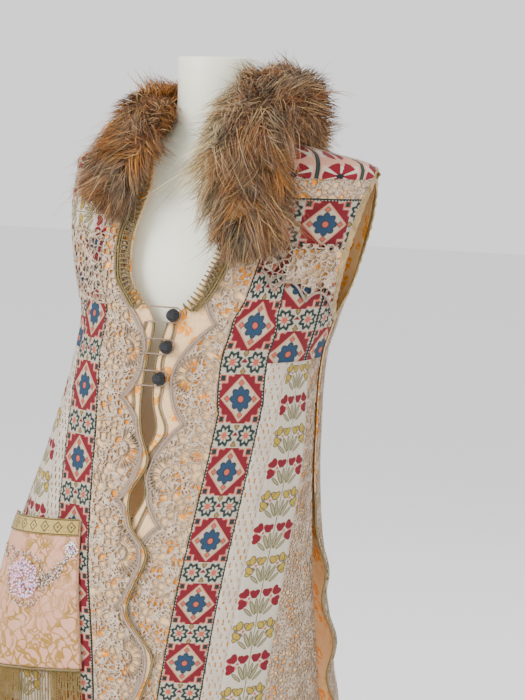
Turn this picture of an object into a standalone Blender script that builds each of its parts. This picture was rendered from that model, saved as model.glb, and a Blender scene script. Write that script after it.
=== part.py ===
"""Long sleeveless patchwork vest with a fur collar, standing on a limbless dress form.

Metres, +Z up, the form's front faces -Y and its left side is +X. The origin is the middle of the
base plate's underside. Every piece of cloth is worked out from one shell: a ring at each height,
measured around from the middle of the front, and moved outwards by the height of its layer.
"""

import math

import bmesh
import bpy
import numpy as np
from mathutils.geometry import delaunay_2d_cdt

# Driving sizes
HEM_HEIGHT = 0.42
UNDERARM_HEIGHT = 1.135
SHOULDER_TIP_HEIGHT = 1.338
SLIT_TOP = 0.90
SEAM_GAP = 0.0003
CLOTH = 0.0018
BAND_CLOTH = 0.0012
LACE_CLOTH = 0.0016
LACE_GAP = 0.0014
LAP_LIFT = 0.0075
RING_SQUARENESS = 2.4
SCALLOP_PITCH = 0.132
SCALLOP_DEPTH = 0.031
FAN_INNER = 0.011
FAN_OUTER = 0.0235
LACE_WIDTH = 0.075
BAND_WIDTH = 0.056
LADDER_WIDTH = 0.025
FLOWER_WIDTH = 0.066
BUTTON_RADIUS = 0.009
POLE_RADIUS = 0.016
BASE_RADIUS = 0.18
BASE_THICKNESS = 0.014
FORM_BOTTOM = 0.765
FORM_NECK_START = 1.385

# Layers, as distances out from the shell
COVER_IN = CLOTH + SEAM_GAP
COVER_OUT = COVER_IN + BAND_CLOTH
LACE_IN = CLOTH + LACE_GAP
LACE_OUT = LACE_IN + LACE_CLOTH
TOP_IN = LACE_OUT + 0.0012

# Shell rings: height, half width, depth in front, depth behind, shift right, shift back
SHELL_RINGS = (
    (0.420, 0.287, 0.235, 0.205, -0.080, -0.030),
    (0.600, 0.254, 0.208, 0.178, -0.068, -0.028),
    (0.775, 0.220, 0.180, 0.150, -0.052, -0.024),
    (0.870, 0.201, 0.164, 0.134, -0.040, -0.018),
    (0.965, 0.184, 0.150, 0.120, -0.027, -0.010),
    (1.090, 0.171, 0.138, 0.112, -0.009, -0.002),
    (1.130, 0.175, 0.136, 0.112, -0.001, 0.0),
    (1.200, 0.195, 0.126, 0.108, 0.005, 0.0),
    (1.280, 0.210, 0.108, 0.098, 0.012, 0.0),
    (1.338, 0.211, 0.080, 0.080, 0.016, 0.0),
    (1.352, 0.162, 0.072, 0.072, 0.010, 0.0),
    (1.364, 0.112, 0.063, 0.063, 0.004, 0.0),
    (1.376, 0.075, 0.057, 0.057, 0.0, 0.0),
)

# Form rings: height, half width, depth in front, depth behind
FORM_RINGS = (
    (0.765, 0.106, 0.078, 0.070),
    (0.772, 0.126, 0.092, 0.084),
    (0.790, 0.137, 0.099, 0.090),
    (0.850, 0.137, 0.100, 0.090),
    (0.920, 0.127, 0.094, 0.086),
    (0.990, 0.118, 0.090, 0.080),
    (1.060, 0.134, 0.103, 0.086),
    (1.130, 0.148, 0.116, 0.094),
    (1.200, 0.163, 0.112, 0.096),
    (1.270, 0.176, 0.096, 0.088),
    (1.320, 0.180, 0.078, 0.076),
    (1.338, 0.1706, 0.0738, 0.0738),
    (1.350, 0.1456, 0.0706, 0.0706),
    (1.362, 0.1016, 0.0621, 0.0621),
    (1.374, 0.0690, 0.0548, 0.0548),
    (1.392, 0.0565, 0.0545, 0.0545),
    (1.420, 0.0520, 0.0520, 0.0520),
    (1.480, 0.0520, 0.0520, 0.0520),
)

# Folds: angle from the middle of the front, half width of the fold, height at the hem, top
FOLDS = (
    (26, 9, 0.008, 0.98),
    (58, 10, -0.009, 1.02),
    (-34, 10, 0.007, 0.80),
    (-62, 10, -0.009, 1.00),
    (112, 10, 0.010, 0.92),
    (138, 10, -0.009, 1.04),
    (166, 12, 0.011, 1.00),
    (-112, 10, 0.010, 0.94),
    (-141, 11, -0.008, 1.06),
    (-166, 10, -0.007, 0.88),
)

# Front edge and neckline of each front: height, distance from the middle of the front
LEFT_EDGE = (
    (0.42, -0.020), (0.766, -0.006), (0.83, 0.000), (0.87, 0.006), (0.905, 0.018), (0.95, 0.002),
    (0.99, 0.013), (1.035, -0.002), (1.085, -0.008), (1.135, -0.004), (1.16, 0.020), (1.19, 0.036),
    (1.235, 0.050), (1.30, 0.062),
    (1.338, 0.072), (1.352, 0.079), (1.364, 0.088), (1.376, 0.100),
)
RIGHT_EDGE = (
    (0.42, 0.118), (0.49, 0.090), (0.56, 0.104), (0.63, 0.064), (0.695, 0.074), (0.766, 0.026),
    (0.83, 0.038), (0.87, 0.006), (0.905, -0.004), (0.95, 0.010), (0.99, -0.012),
    (1.035, -0.022), (1.135, -0.028), (1.16, -0.048), (1.19, -0.070), (1.235, -0.076),
    (1.30, -0.066),
    (1.338, -0.073), (1.352, -0.080), (1.364, -0.089), (1.376, -0.100),
)
# Line of the lace's scallop tips on each front
LEFT_TIPS = ((0.42, 0.012), (0.94, 0.012), (1.068, 0.016), (1.178, 0.034), (1.24, 0.056))
RIGHT_TIPS = (
    (0.42, 0.112), (0.56, 0.096), (0.695, 0.070), (0.83, 0.034), (0.965, 0.002), (1.097, -0.026),
    (1.219, -0.062), (1.30, -0.070),
)
# Armhole: height, angle of the front's edge, angle of the back's edge
ARMHOLE = (
    (1.135, 88.0, 92.0),
    (1.160, 80.0, 100.0),
    (1.200, 73.0, 107.0),
    (1.250, 70.0, 111.0),
    (1.300, 75.0, 106.0),
    (1.338, 89.6, 90.4),
)

ROWS = (
    0.42, 0.49, 0.56, 0.63, 0.695, 0.766, 0.83, 0.87, 0.905, 0.95, 0.99, 1.035, 1.085,
    1.135, 1.16, 1.19, 1.235, 1.268, 1.30, 1.325, 1.338, 1.352, 1.364, 1.376,
)
ROW_FLOWERS = ROWS.index(1.085)
ROW_CHEST = ROWS.index(1.19)
ROW_BAND_LOW = ROWS.index(1.235)
ROW_BAND_HIGH = ROWS.index(1.30)
ROW_SHOULDER = ROWS.index(1.325)
ROW_TOP = len(ROWS) - 1


def eased(x, low, high):
    """0 at low, 1 at high, and smooth between them."""
    t = min(max((x - low) / (high - low), 0.0), 1.0)
    return t * t * (3 - 2 * t)


def on_halves(corners, x, y):
    """A point on a four-sided cell that is cut into two triangles from its first corner."""
    near, right, above, far = corners
    if x >= y:
        return near + (right - near) * x + (far - right) * y
    return near + (above - near) * y + (far - above) * x


def smooth_table(rows, column, at):
    """One column of a table read at a height, on a curve that doesn't overshoot its rows."""
    table = np.array(rows, float)
    x, y = table[:, 0], table[:, column]
    at = min(max(at, x[0]), x[-1])
    slope = np.diff(y) / np.diff(x)
    tangent = np.zeros(len(x))
    same_way = slope[:-1] * slope[1:] > 0
    total = np.where(same_way, slope[:-1] + slope[1:], 1)
    tangent[1:-1] = np.where(same_way, 2 * slope[:-1] * slope[1:] / total, 0)
    tangent[0], tangent[-1] = slope[0], slope[-1]
    i = min(max(int(np.searchsorted(x, at, side="right")) - 1, 0), len(x) - 2)
    step = x[i + 1] - x[i]
    t = (at - x[i]) / step
    return float(
        (2 * t**3 - 3 * t**2 + 1) * y[i]
        + (t**3 - 2 * t**2 + t) * step * tangent[i]
        + (3 * t**2 - 2 * t**3) * y[i + 1]
        + (t**3 - t**2) * step * tangent[i + 1]
    )


def fold_height(degrees, height):
    """How far the folds push the cloth out at this angle and height."""
    total = 0.0
    for angle, width, at_hem, top in FOLDS:
        away = (degrees - angle + 180) % 360 - 180
        reach = eased(top - height, 0.0, top - HEM_HEIGHT)
        total += at_hem * reach * math.exp(-((away / width) ** 2))
    return total


def side_flare(degrees, height):
    """The back stands out past the fronts at the side slits, in scallops."""
    away = min(degrees, 360 - degrees) - 90
    if away < -4:
        return 0.0
    scallop = 0.75 + 0.25 * math.cos(2 * math.pi * (height - 0.70) / 0.105)
    return 0.026 * eased(SLIT_TOP + 0.01 - height, 0.0, 0.16) * scallop * math.exp(-max(away, 0) / 9)


class Shell:
    """The surface that the cloth follows, measured along each ring from the middle of the front.

    The fronts are measured both ways from there, and the back all the way round to the left.
    """

    SAMPLES = 720

    def __init__(self):
        self.rings = {}

    def ring(self, height, back):
        key = (round(height, 5), back)
        if key not in self.rings:
            columns = [smooth_table(SHELL_RINGS, k, height) for k in range(1, 6)]
            half, front, rear, right, aft = columns
            start = 0 if back else -180
            degrees = np.linspace(start, start + 360, 2 * self.SAMPLES + 1)
            angle = np.radians(degrees)
            sine, cosine = np.sin(angle), np.cos(angle)
            power = 2 / RING_SQUARENESS
            push = np.array([fold_height(a, height) for a in degrees])
            flare = np.array([side_flare(a, height) for a in degrees]) if back else 0.0
            depth = np.where(cosine > 0, front, rear)
            x = (half + push + flare) * np.sign(sine) * np.abs(sine) ** power
            y = -(depth + push) * np.sign(cosine) * np.abs(cosine) ** power
            points = np.stack([x + right, y + aft, np.full_like(x, height)], 1)
            steps = np.linalg.norm(np.diff(points, axis=0), axis=1)
            along = np.concatenate([[0.0], np.cumsum(steps)])
            middle = 0.0 if back else along[self.SAMPLES]
            self.rings[key] = (points, along - middle, degrees)
        return self.rings[key]

    def at(self, along, height, back=False):
        points, lengths, _ = self.ring(height, back)
        return np.array([np.interp(along, lengths, points[:, k]) for k in range(3)])

    def along_at(self, degrees, height, back=False):
        _, lengths, angles = self.ring(height, back)
        return float(np.interp(degrees, angles, lengths))

    def normal(self, along, height, back=False):
        _, _, angles = self.ring(height, back)
        step = 0.004
        low, high = max(height - step, ROWS[0]), min(height + step, ROWS[-1])
        degrees = float(np.interp(along, self.ring(height, back)[1], angles))
        across = self.at(along + step, height, back) - self.at(along - step, height, back)
        upper = self.at(self.along_at(degrees, high, back), high, back)
        lower = self.at(self.along_at(degrees, low, back), low, back)
        out = np.cross(across, upper - lower)
        return out / np.linalg.norm(out)


SHELL = Shell()


def lap_lift(along, height):
    """The right front rises over the left front where they cross below the waist."""
    return LAP_LIFT * eased(0.99 - height, 0.0, 0.035) * eased(along, -0.085, -0.035)


class Panel:
    """One cut piece of the garment: a grid of rows by lines, each line with its name."""

    def __init__(self, lines, steps, back=False, lifted=False):
        self.lines = lines
        self.steps = steps
        self.back = back
        self.lifted = lifted
        self.first = [0]
        for count in steps:
            self.first.append(self.first[-1] + count)
        self.cache = {}

    def along(self, row, column):
        """Distance from the middle of the front at a grid point."""
        height = ROWS[row]
        for tile, count in enumerate(self.steps):
            if column <= self.first[tile + 1]:
                share = (column - self.first[tile]) / count
                low, high = self.lines[tile](height), self.lines[tile + 1](height)
                return low + (high - low) * share
        return self.lines[-1](height)

    def place(self, along, height, out):
        lift = lap_lift(along, height) if self.lifted else 0.0
        point = SHELL.at(along, height, self.back)
        return point + SHELL.normal(along, height, self.back) * (out + lift)

    def grid_point(self, row, column, out):
        """A grid point moved out, so that every layer keeps the same facets."""
        key = (row, column)
        if key not in self.cache:
            along = self.along(row, column)
            lift = lap_lift(along, ROWS[row]) if self.lifted else 0.0
            self.cache[key] = (
                SHELL.at(along, ROWS[row], self.back),
                SHELL.normal(along, ROWS[row], self.back),
                lift,
            )
        point, normal, lift = self.cache[key]
        return point + normal * (out + lift)

    def straight(self, index):
        """One of the panel's lines, straight between its rows as the facets are."""
        spots = [self.lines[index](height) for height in ROWS]
        return lambda height: float(np.interp(height, ROWS, spots))

    def grid_spots(self):
        columns = range(self.first[-1] + 1)
        return [(self.along(row, c), ROWS[row]) for row in range(len(ROWS)) for c in columns]

    def facet_point(self, along, height, out):
        """A point on the panel's own facets, between its grid points."""
        height = min(max(height, ROWS[0]), ROWS[-1])
        row = min(int(np.searchsorted(ROWS, height, side="right")) - 1, ROW_TOP - 1)
        share = (height - ROWS[row]) / (ROWS[row + 1] - ROWS[row])
        columns = range(self.first[-1] + 1)
        lines = [
            self.along(row, c) * (1 - share) + self.along(row + 1, c) * share for c in columns
        ]
        sign = 1 if lines[-1] > lines[0] else -1
        keyed = [sign * line for line in lines]
        column = int(np.searchsorted(keyed, sign * along, side="right")) - 1
        column = min(max(column, 0), len(lines) - 2)
        across = (along - lines[column]) / (lines[column + 1] - lines[column])
        corners = [self.grid_point(row + j, column + i, out) for j in (0, 1) for i in (0, 1)]
        return on_halves(corners, across, share)

    def tile(self, columns, rows, inner, outer, edge=SEAM_GAP / 2):
        """A wall over part of the grid, drawn in a little at its edges so that tiles don't touch."""
        first, last = columns
        low, high = rows
        bm = bmesh.new()
        corners = {}
        for row in range(low, high + 1):
            for column in range(first, last + 1):
                corners[row, column] = bm.verts.new((column, row, 0))
        for row in range(low, high):
            for column in range(first, last):
                near, far = corners[row, column], corners[row + 1, column + 1]
                bm.faces.new([near, corners[row, column + 1], far])
                bm.faces.new([near, far, corners[row + 1, column]])

        def put(u, v, out):
            row, column = int(round(v)), int(round(u))
            point = self.grid_point(row, column, out)
            for at, stop, beside in (
                (column, first, (row, column + 1)),
                (column, last, (row, column - 1)),
                (row, low, (row + 1, column)),
                (row, high, (row - 1, column)),
            ):
                if at == stop:
                    inward = self.grid_point(*beside, out) - self.grid_point(row, column, out)
                    point = point + inward / np.linalg.norm(inward) * edge
            return point

        return thickened(bm, put, inner, outer)


def thickened(bm, put, inner, outer):
    """A flat pattern made a closed wall: its points go to the inner side, their copies outside."""
    faces = bm.faces[:]
    grown = bmesh.ops.extrude_face_region(bm, geom=faces)
    new = {item for item in grown["geom"] if isinstance(item, bmesh.types.BMVert)}
    for vert in bm.verts:
        vert.co = put(vert.co.x, vert.co.y, outer if vert in new else inner)
    return bm


def material(name, colour, roughness, metallic=0.0):
    made = bpy.data.materials.get(name)
    if made is None:
        made = bpy.data.materials.new(name)
        made.use_nodes = True
        shader = made.node_tree.nodes["Principled BSDF"]
        shader.inputs["Base Color"].default_value = (*colour, 1)
        shader.inputs["Roughness"].default_value = roughness
        shader.inputs["Metallic"].default_value = metallic
        made.diffuse_color = (*colour, 1)
    return made


COLOURS = {
    "lining": ((0.86, 0.62, 0.36), 0.85),
    "linen": ((0.74, 0.69, 0.60), 0.9),
    "lace": ((0.70, 0.60, 0.52), 0.9),
    "crimson": ((0.37, 0.02, 0.05), 0.85),
    "brocade": ((0.72, 0.50, 0.36), 0.6),
    "gold_cord": ((0.36, 0.27, 0.13), 0.45),
    "ribbon": ((0.46, 0.31, 0.17), 0.4),
    "fur": ((0.30, 0.17, 0.09), 0.9),
    "black_cord": ((0.015, 0.018, 0.022), 0.6),
    "pearl": ((0.66, 0.50, 0.60), 0.4),
    "form": ((0.80, 0.82, 0.74), 0.5),
    "stand": ((0.70, 0.71, 0.68), 0.35),
}


def finish(name, bm, colour, smooth=False):
    bmesh.ops.recalc_face_normals(bm, faces=bm.faces[:])
    if bm.calc_volume(signed=True) < 0:
        bmesh.ops.reverse_faces(bm, faces=bm.faces[:])
    mesh = bpy.data.meshes.new(name)
    bm.to_mesh(mesh)
    bm.free()
    made = bpy.data.objects.new(name, mesh)
    bpy.context.scene.collection.objects.link(made)
    mesh.materials.append(material(colour, *COLOURS[colour]))
    if smooth:
        mesh.shade_smooth()
    return made


def bridged(bm, rings, closed=False):
    """Faces between rings of points, with flat ends or joined round into a loop."""
    loops = [[bm.verts.new(tuple(map(float, p))) for p in ring] for ring in rings]
    count = len(loops[0])
    pairs = list(zip(loops, loops[1:])) + ([(loops[-1], loops[0])] if closed else [])
    for low, high in pairs:
        for k in range(count):
            bm.faces.new([low[k], low[(k + 1) % count], high[(k + 1) % count], high[k]])
    if not closed:
        bm.faces.new(loops[0][::-1])
        bm.faces.new(loops[-1])
    return bm


def tube(path, radius, sides, ups, closed=False, flat=1.0):
    """A round or flattened tube along a path. ups are its surface normals at the path's points."""
    path = np.array(path, float)
    count = len(path)
    radii = np.broadcast_to(radius, (count,))
    rings = []
    for i in range(count):
        before = path[(i - 1) % count] if closed or i else path[0]
        after = path[(i + 1) % count] if closed or i < count - 1 else path[-1]
        forward = (after - before) / np.linalg.norm(after - before)
        up = ups[i] - forward * np.dot(ups[i], forward)
        up = up / np.linalg.norm(up)
        side = np.cross(forward, up)
        turns = [2 * math.pi * (k + 0.5) / sides for k in range(sides)]
        rings.append(
            [
                path[i] + radii[i] * (side * math.cos(a) + up * flat * math.sin(a))
                for a in turns
            ]
        )
    return bridged(bmesh.new(), rings, closed)


# Dress form and its stand
def dress_form():
    sides = 24
    rings = []
    for height, half, front, rear in FORM_RINGS:
        power = 2 / (RING_SQUARENESS if height < FORM_NECK_START else 2.0)
        ring = []
        for k in range(sides):
            angle = 2 * math.pi * (k + 0.5) / sides
            sine, cosine = math.sin(angle), math.cos(angle)
            depth = front if cosine > 0 else rear
            x = half * math.copysign(abs(sine) ** power, sine)
            y = -depth * math.copysign(abs(cosine) ** power, cosine)
            ring.append((x, y, height))
        rings.append(ring)
    bm = bridged(bmesh.new(), rings)
    finish("form_torso", bm, "form", smooth=True)


def stand():
    bm = bmesh.new()
    bmesh.ops.create_cone(
        bm, cap_ends=True, segments=40, radius1=BASE_RADIUS, radius2=BASE_RADIUS,
        depth=BASE_THICKNESS,
    )
    bmesh.ops.translate(bm, verts=bm.verts[:], vec=(0, 0, BASE_THICKNESS / 2))
    rim = [e for e in bm.edges if all(v.co.z > BASE_THICKNESS / 2 for v in e.verts)]
    bmesh.ops.bevel(
        bm, geom=rim, offset=0.004, segments=2, profile=0.5, affect="EDGES", material=-1
    )
    finish("stand_base", bm, "stand")
    low, high = BASE_THICKNESS + SEAM_GAP, FORM_BOTTOM - SEAM_GAP
    bm = bmesh.new()
    bmesh.ops.create_cone(
        bm, cap_ends=True, segments=20, radius1=POLE_RADIUS, radius2=POLE_RADIUS,
        depth=high - low,
    )
    bmesh.ops.translate(bm, verts=bm.verts[:], vec=(0, 0, (low + high) / 2))
    finish("stand_pole", bm, "stand", smooth=True)


# The garment's lines, each a distance from the middle of the front at a height
def armhole_angle(height, back):
    return smooth_table(ARMHOLE, 2 if back else 1, height)


def outer_line(side):
    """A front's outer edge: the side seam, then the armhole, then the shoulder seam."""

    def line(height):
        if height <= UNDERARM_HEIGHT:
            degrees = 88.0
        elif height < SHOULDER_TIP_HEIGHT:
            degrees = armhole_angle(height, False)
        else:
            degrees = 89.6
        return SHELL.along_at(side * degrees, height)

    return line


def back_edge_line(side):
    """The back's edge at its side seam, slit, armhole and shoulder seam."""

    def line(height):
        if height <= UNDERARM_HEIGHT:
            degrees = 92.0 - 3.0 * eased(SLIT_TOP - height, 0.0, 0.1)
        elif height < SHOULDER_TIP_HEIGHT:
            degrees = armhole_angle(height, True)
        else:
            degrees = 90.4
        return SHELL.along_at(degrees if side > 0 else 360 - degrees, height, True)

    return line


def front_panel(side, edge, band_line):
    """Lines out from the front edge: edge, lace, band, ladder lace, flower strip, side."""
    outer = outer_line(side)

    def kept_in(share, wanted):
        """A line stays in order between the edge and the side where the panel is narrow."""

        def line(height):
            low, high = edge(height), outer(height)
            room = abs(high - low)
            limit = room * share
            reach = min(abs(wanted(height) - low), limit)
            return low + side * max(reach, limit * 0.35)

        return line

    def offset(distance):
        return lambda height: band_line(height) + side * distance

    lines = (
        edge,
        kept_in(0.34, offset(0.0)),
        kept_in(0.58, offset(BAND_WIDTH)),
        kept_in(0.70, offset(BAND_WIDTH + LADDER_WIDTH)),
        kept_in(0.88, offset(BAND_WIDTH + LADDER_WIDTH + FLOWER_WIDTH)),
        outer,
    )
    return Panel(lines, (3, 2, 1, 2, 2), lifted=side < 0)


def edge_line(rows):
    return lambda height: float(np.interp(height, *np.array(rows).T))


def left_band(height):
    return 0.088 + 0.028 * eased(height, 1.10, 1.20)


def right_band(height):
    return edge_line(RIGHT_TIPS)(height) - LACE_WIDTH


BACK_SHARES = (0.0, 0.09, 0.21, 0.31, 0.39, 0.61, 0.69, 0.79, 0.91, 1.0)
BACK_STEPS = (1, 2, 2, 1, 3, 1, 2, 2, 1)


def back_panel():
    """Lines across the back: side, flowers, band, lace and centre, and the same again."""
    left, right = back_edge_line(1), back_edge_line(-1)

    def share_line(share):
        return lambda height: left(height) + (right(height) - left(height)) * share

    return Panel([share_line(share) for share in BACK_SHARES], BACK_STEPS, back=True)


# Lace with cut gaps
def inside(point, outline):
    x, y = point
    found = False
    for (x0, y0), (x1, y1) in zip(outline, outline[1:] + outline[:1]):
        if (y0 > y) != (y1 > y) and x < (x1 - x0) * (y - y0) / (y1 - y0) + x0:
            found = not found
    return found


def cut_pattern(outline, gaps, folds=()):
    """A flat pattern with gaps cut through it, as a bmesh. folds are points it bends at."""
    points, edges = [], []
    for spot in folds:
        if clear_of(outline, [spot], 0.0025) and all(away_from(gap, spot, 0.0012) for gap in gaps):
            points.append(spot)
    for loop in [outline] + gaps:
        start = len(points)
        points += loop
        edges += [(start + k, start + (k + 1) % len(loop)) for k in range(len(loop))]
    verts, _, faces, *_ = delaunay_2d_cdt(points, edges, [], 1, 1e-7)
    bm = bmesh.new()
    made = [bm.verts.new((v[0], v[1], 0)) for v in verts]
    for face in faces:
        middle = sum(verts[k][0] for k in face) / 3, sum(verts[k][1] for k in face) / 3
        if inside(middle, outline) and not any(inside(middle, gap) for gap in gaps):
            bm.faces.new([made[k] for k in face])
    bmesh.ops.delete(bm, geom=[v for v in bm.verts if not v.link_faces], context="VERTS")
    return bm


def outline_distance(outline, spot):
    """Distance from a spot to the nearest side of an outline."""
    x, y = spot
    nearest = math.inf
    for (x0, y0), (x1, y1) in zip(outline, outline[1:] + outline[:1]):
        dx, dy = x1 - x0, y1 - y0
        t = min(max(((x - x0) * dx + (y - y0) * dy) / (dx * dx + dy * dy), 0), 1)
        nearest = min(nearest, math.hypot(x - x0 - t * dx, y - y0 - t * dy))
    return nearest


def clear_of(outline, gap, margin):
    """Whether a gap keeps its margin inside the outline."""
    return all(inside(s, outline) and outline_distance(outline, s) >= margin for s in gap)


def away_from(gap, spot, margin):
    return not inside(spot, gap) and outline_distance(gap, spot) >= margin


def fan_gaps(x, y, towards, inner, outer, half, count, spread):
    """Slots that fan out round a scallop's middle, each a long lozenge."""
    gaps = []
    for k in range(count):
        turn = math.radians(spread * (k / (count - 1) - 0.5)) + towards
        ray = (math.cos(turn), math.sin(turn))
        waist = inner + (outer - inner) * 0.62
        gaps.append(
            [
                (x + ray[0] * inner, y + ray[1] * inner),
                (x + ray[0] * waist - ray[1] * half, y + ray[1] * waist + ray[0] * half),
                (x + ray[0] * outer, y + ray[1] * outer),
                (x + ray[0] * waist + ray[1] * half, y + ray[1] * waist - ray[0] * half),
            ]
        )
    return gaps


def lozenge(x, y, half_x, half_y):
    return [(x - half_x, y), (x, y - half_y), (x + half_x, y), (x, y + half_y)]


def lace_edging(name, panel, side, tips, tip_height, top):
    """Scalloped crochet between a front's edge and its band, with fans and a row of lozenges."""
    tip_line, edge, band = edge_line(tips), panel.straight(0), panel.straight(1)

    def free_side(height):
        wave = abs(math.cos(math.pi * (height - tip_height) / SCALLOP_PITCH)) ** 0.75
        line = tip_line(height) + side * SCALLOP_DEPTH * (1 - wave)
        clear = edge(height) + side * 0.0008
        return max(line, clear) if side > 0 else min(line, clear)

    def band_side(height):
        return band(height) - side * 0.0013

    count = int((top - HEM_HEIGHT) / 0.0150)
    heights = np.linspace(HEM_HEIGHT + 0.0005, top, count + 1)
    outline = [(free_side(h), h) for h in heights]
    outline += [(band_side(h), h) for h in heights[::-2]]
    towards = math.pi if side > 0 else 0.0
    gaps = []
    lowest = int((HEM_HEIGHT - tip_height) / SCALLOP_PITCH) - 1
    for repeat in range(lowest, 3):
        middle = tip_height + repeat * SCALLOP_PITCH
        if not HEM_HEIGHT - 0.05 < middle < top + 0.05:
            continue
        hub = tip_line(middle) + side * 0.030
        gaps += fan_gaps(hub, middle, towards, FAN_INNER, FAN_OUTER, 0.0027, 6, 160)
        for k in range(5):
            height = middle + (k - 2) * SCALLOP_PITCH / 5
            gaps.append(lozenge(band(height) - side * 0.0125, height, 0.0036, 0.0072))
        gaps.append(lozenge(tip_line(middle) + side * 0.044, middle + 0.027, 0.0034, 0.0056))
        gaps.append(lozenge(tip_line(middle) + side * 0.044, middle - 0.027, 0.0034, 0.0056))
    gaps = [gap for gap in gaps if clear_of(outline, gap, 0.0022)]
    flat = cut_pattern(outline, gaps, panel.grid_spots())
    bm = thickened(flat, panel.facet_point, LACE_IN, LACE_OUT)
    finish(name, bm, "lace")


def cape_lace(name, panel):
    """A scalloped lace flounce that comes out under the fur, over the chest pieces."""
    inner, outer = panel.lines[1], panel.lines[-1]
    steps = 18
    low = []
    for k in range(steps + 1):
        share = k / steps
        height = 1.205 - 0.035 * share + 0.019 * abs(math.cos(math.pi * 2.5 * share)) ** 0.8
        across = inner(height) + (outer(height) - inner(height)) * (0.06 + 0.88 * share)
        low.append((across, height - 0.018))
    top = 1.243
    high = [
        (inner(top) + (outer(top) - inner(top)) * (0.06 + 0.88 * k / 6), top) for k in range(7)
    ]
    outline = low + high[::-1]
    gaps = []
    for lobe in (0.2, 0.6):
        k = int(round(lobe * steps))
        x = low[k][0]
        gaps += fan_gaps(x, low[k][1] + 0.026, -math.pi / 2, 0.008, 0.020, 0.0024, 5, 110)
    gaps = [gap for gap in gaps if clear_of(outline, gap, 0.002)]
    flat = cut_pattern(outline, gaps, panel.grid_spots())
    bm = thickened(flat, panel.facet_point, TOP_IN, TOP_IN + LACE_CLOTH)
    finish(name, bm, "lace")


# Trims
def armhole_binding(name, side, front, back):
    """A ribbon just past the armhole's edge, all the way round it."""
    rows = [k for k, h in enumerate(ROWS) if UNDERARM_HEIGHT <= h <= SHOULDER_TIP_HEIGHT]
    last = front.first[-1]
    back_column = 0 if side > 0 else back.first[-1]
    stops = [(front, k, last) for k in rows] + [(back, k, back_column) for k in rows[-2::-1]]
    points = [panel.grid_point(k, column, 0.0) for panel, k, column in stops]
    ups = [
        panel.grid_point(k, column, 1.0) - panel.grid_point(k, column, 0.0)
        for panel, k, column in stops
    ]
    middle = np.mean(points, axis=0)
    rings = []
    for k, (point, up) in enumerate(zip(points, ups)):
        forward = points[(k + 1) % len(points)] - points[k - 1]
        forward /= np.linalg.norm(forward)
        inward = np.cross(forward, up)
        inward *= np.sign(np.dot(inward, middle - point)) / np.linalg.norm(inward)
        near, far = point + inward * 0.0007, point + inward * 0.0120
        rings.append([near - up * 0.0002, far - up * 0.0002, far + up * 0.0030, near + up * 0.0030])
    finish(name, bridged(bmesh.new(), rings, closed=True), "ribbon")


def neck_braid(name, panel, side):
    """Looped gimp along the neckline."""
    count = 24
    heights = [1.150 + (1.372 - 1.150) * (k / (count - 1)) for k in range(count)]
    path, ups, radii = [], [], []
    for k, height in enumerate(heights):
        along = panel.lines[0](height) + side * 0.006
        path.append(panel.facet_point(along, height, LACE_OUT + 0.0034))
        ups.append(SHELL.normal(along, height))
        radii.append(0.0052 if k % 2 else 0.0062)
    finish(name, tube(path, np.array(radii), 6, ups, flat=0.42), "gold_cord")


def edge_cord(name, panel, index, side, low, high):
    """A round cord sewn along a panel's edge."""
    radius = 0.0015
    edge = panel.straight(index)
    path, ups = [], []
    for height in [h for h in ROWS if low <= h <= high]:
        along = edge(height) - side * (radius + 0.0005)
        path.append(panel.facet_point(along, height, CLOTH / 2))
        ups.append(SHELL.normal(along, height, panel.back))
    path[0] = path[0] + (path[1] - path[0]) * 0.01
    finish(name, tube(path, radius, 6, ups), "gold_cord")


# Fur: height, distance from the middle plane, half width, half thickness, whether on the back
FUR_LEFT = (
    (1.222, 0.112, 0.014, 0.010, False),
    (1.240, 0.111, 0.044, 0.020, False),
    (1.270, 0.107, 0.064, 0.030, False),
    (1.305, 0.101, 0.070, 0.037, False),
    (1.338, 0.098, 0.068, 0.042, False),
    (1.358, 0.100, 0.054, 0.046, False),
    (1.358, 0.094, 0.048, 0.046, True),
    (1.345, 0.076, 0.046, 0.040, True),
    (1.338, 0.050, 0.044, 0.034, True),
)
FUR_RIGHT = (
    (1.268, 0.118, 0.014, 0.010, False),
    (1.284, 0.114, 0.040, 0.020, False),
    (1.308, 0.106, 0.056, 0.030, False),
    (1.335, 0.098, 0.060, 0.038, False),
    (1.358, 0.098, 0.050, 0.044, False),
    (1.358, 0.092, 0.046, 0.044, True),
    (1.345, 0.076, 0.044, 0.040, True),
    (1.338, 0.050, 0.043, 0.034, True),
)
FUR_BACK = (
    (1.336, 0.0443, 0.042, 0.032, True),
    (1.334, 0.022, 0.044, 0.034, True),
    (1.333, 0.000, 0.045, 0.035, True),
    (1.334, -0.022, 0.044, 0.034, True),
    (1.336, -0.0443, 0.042, 0.032, True),
)
FUR_LEFT_CLEARANCE = 0.0068
FUR_RIGHT_CLEARANCE = 0.0038
FUR_BACK_CLEARANCE = 0.0070
SHOULDER_CLEARANCE = 0.010


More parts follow.
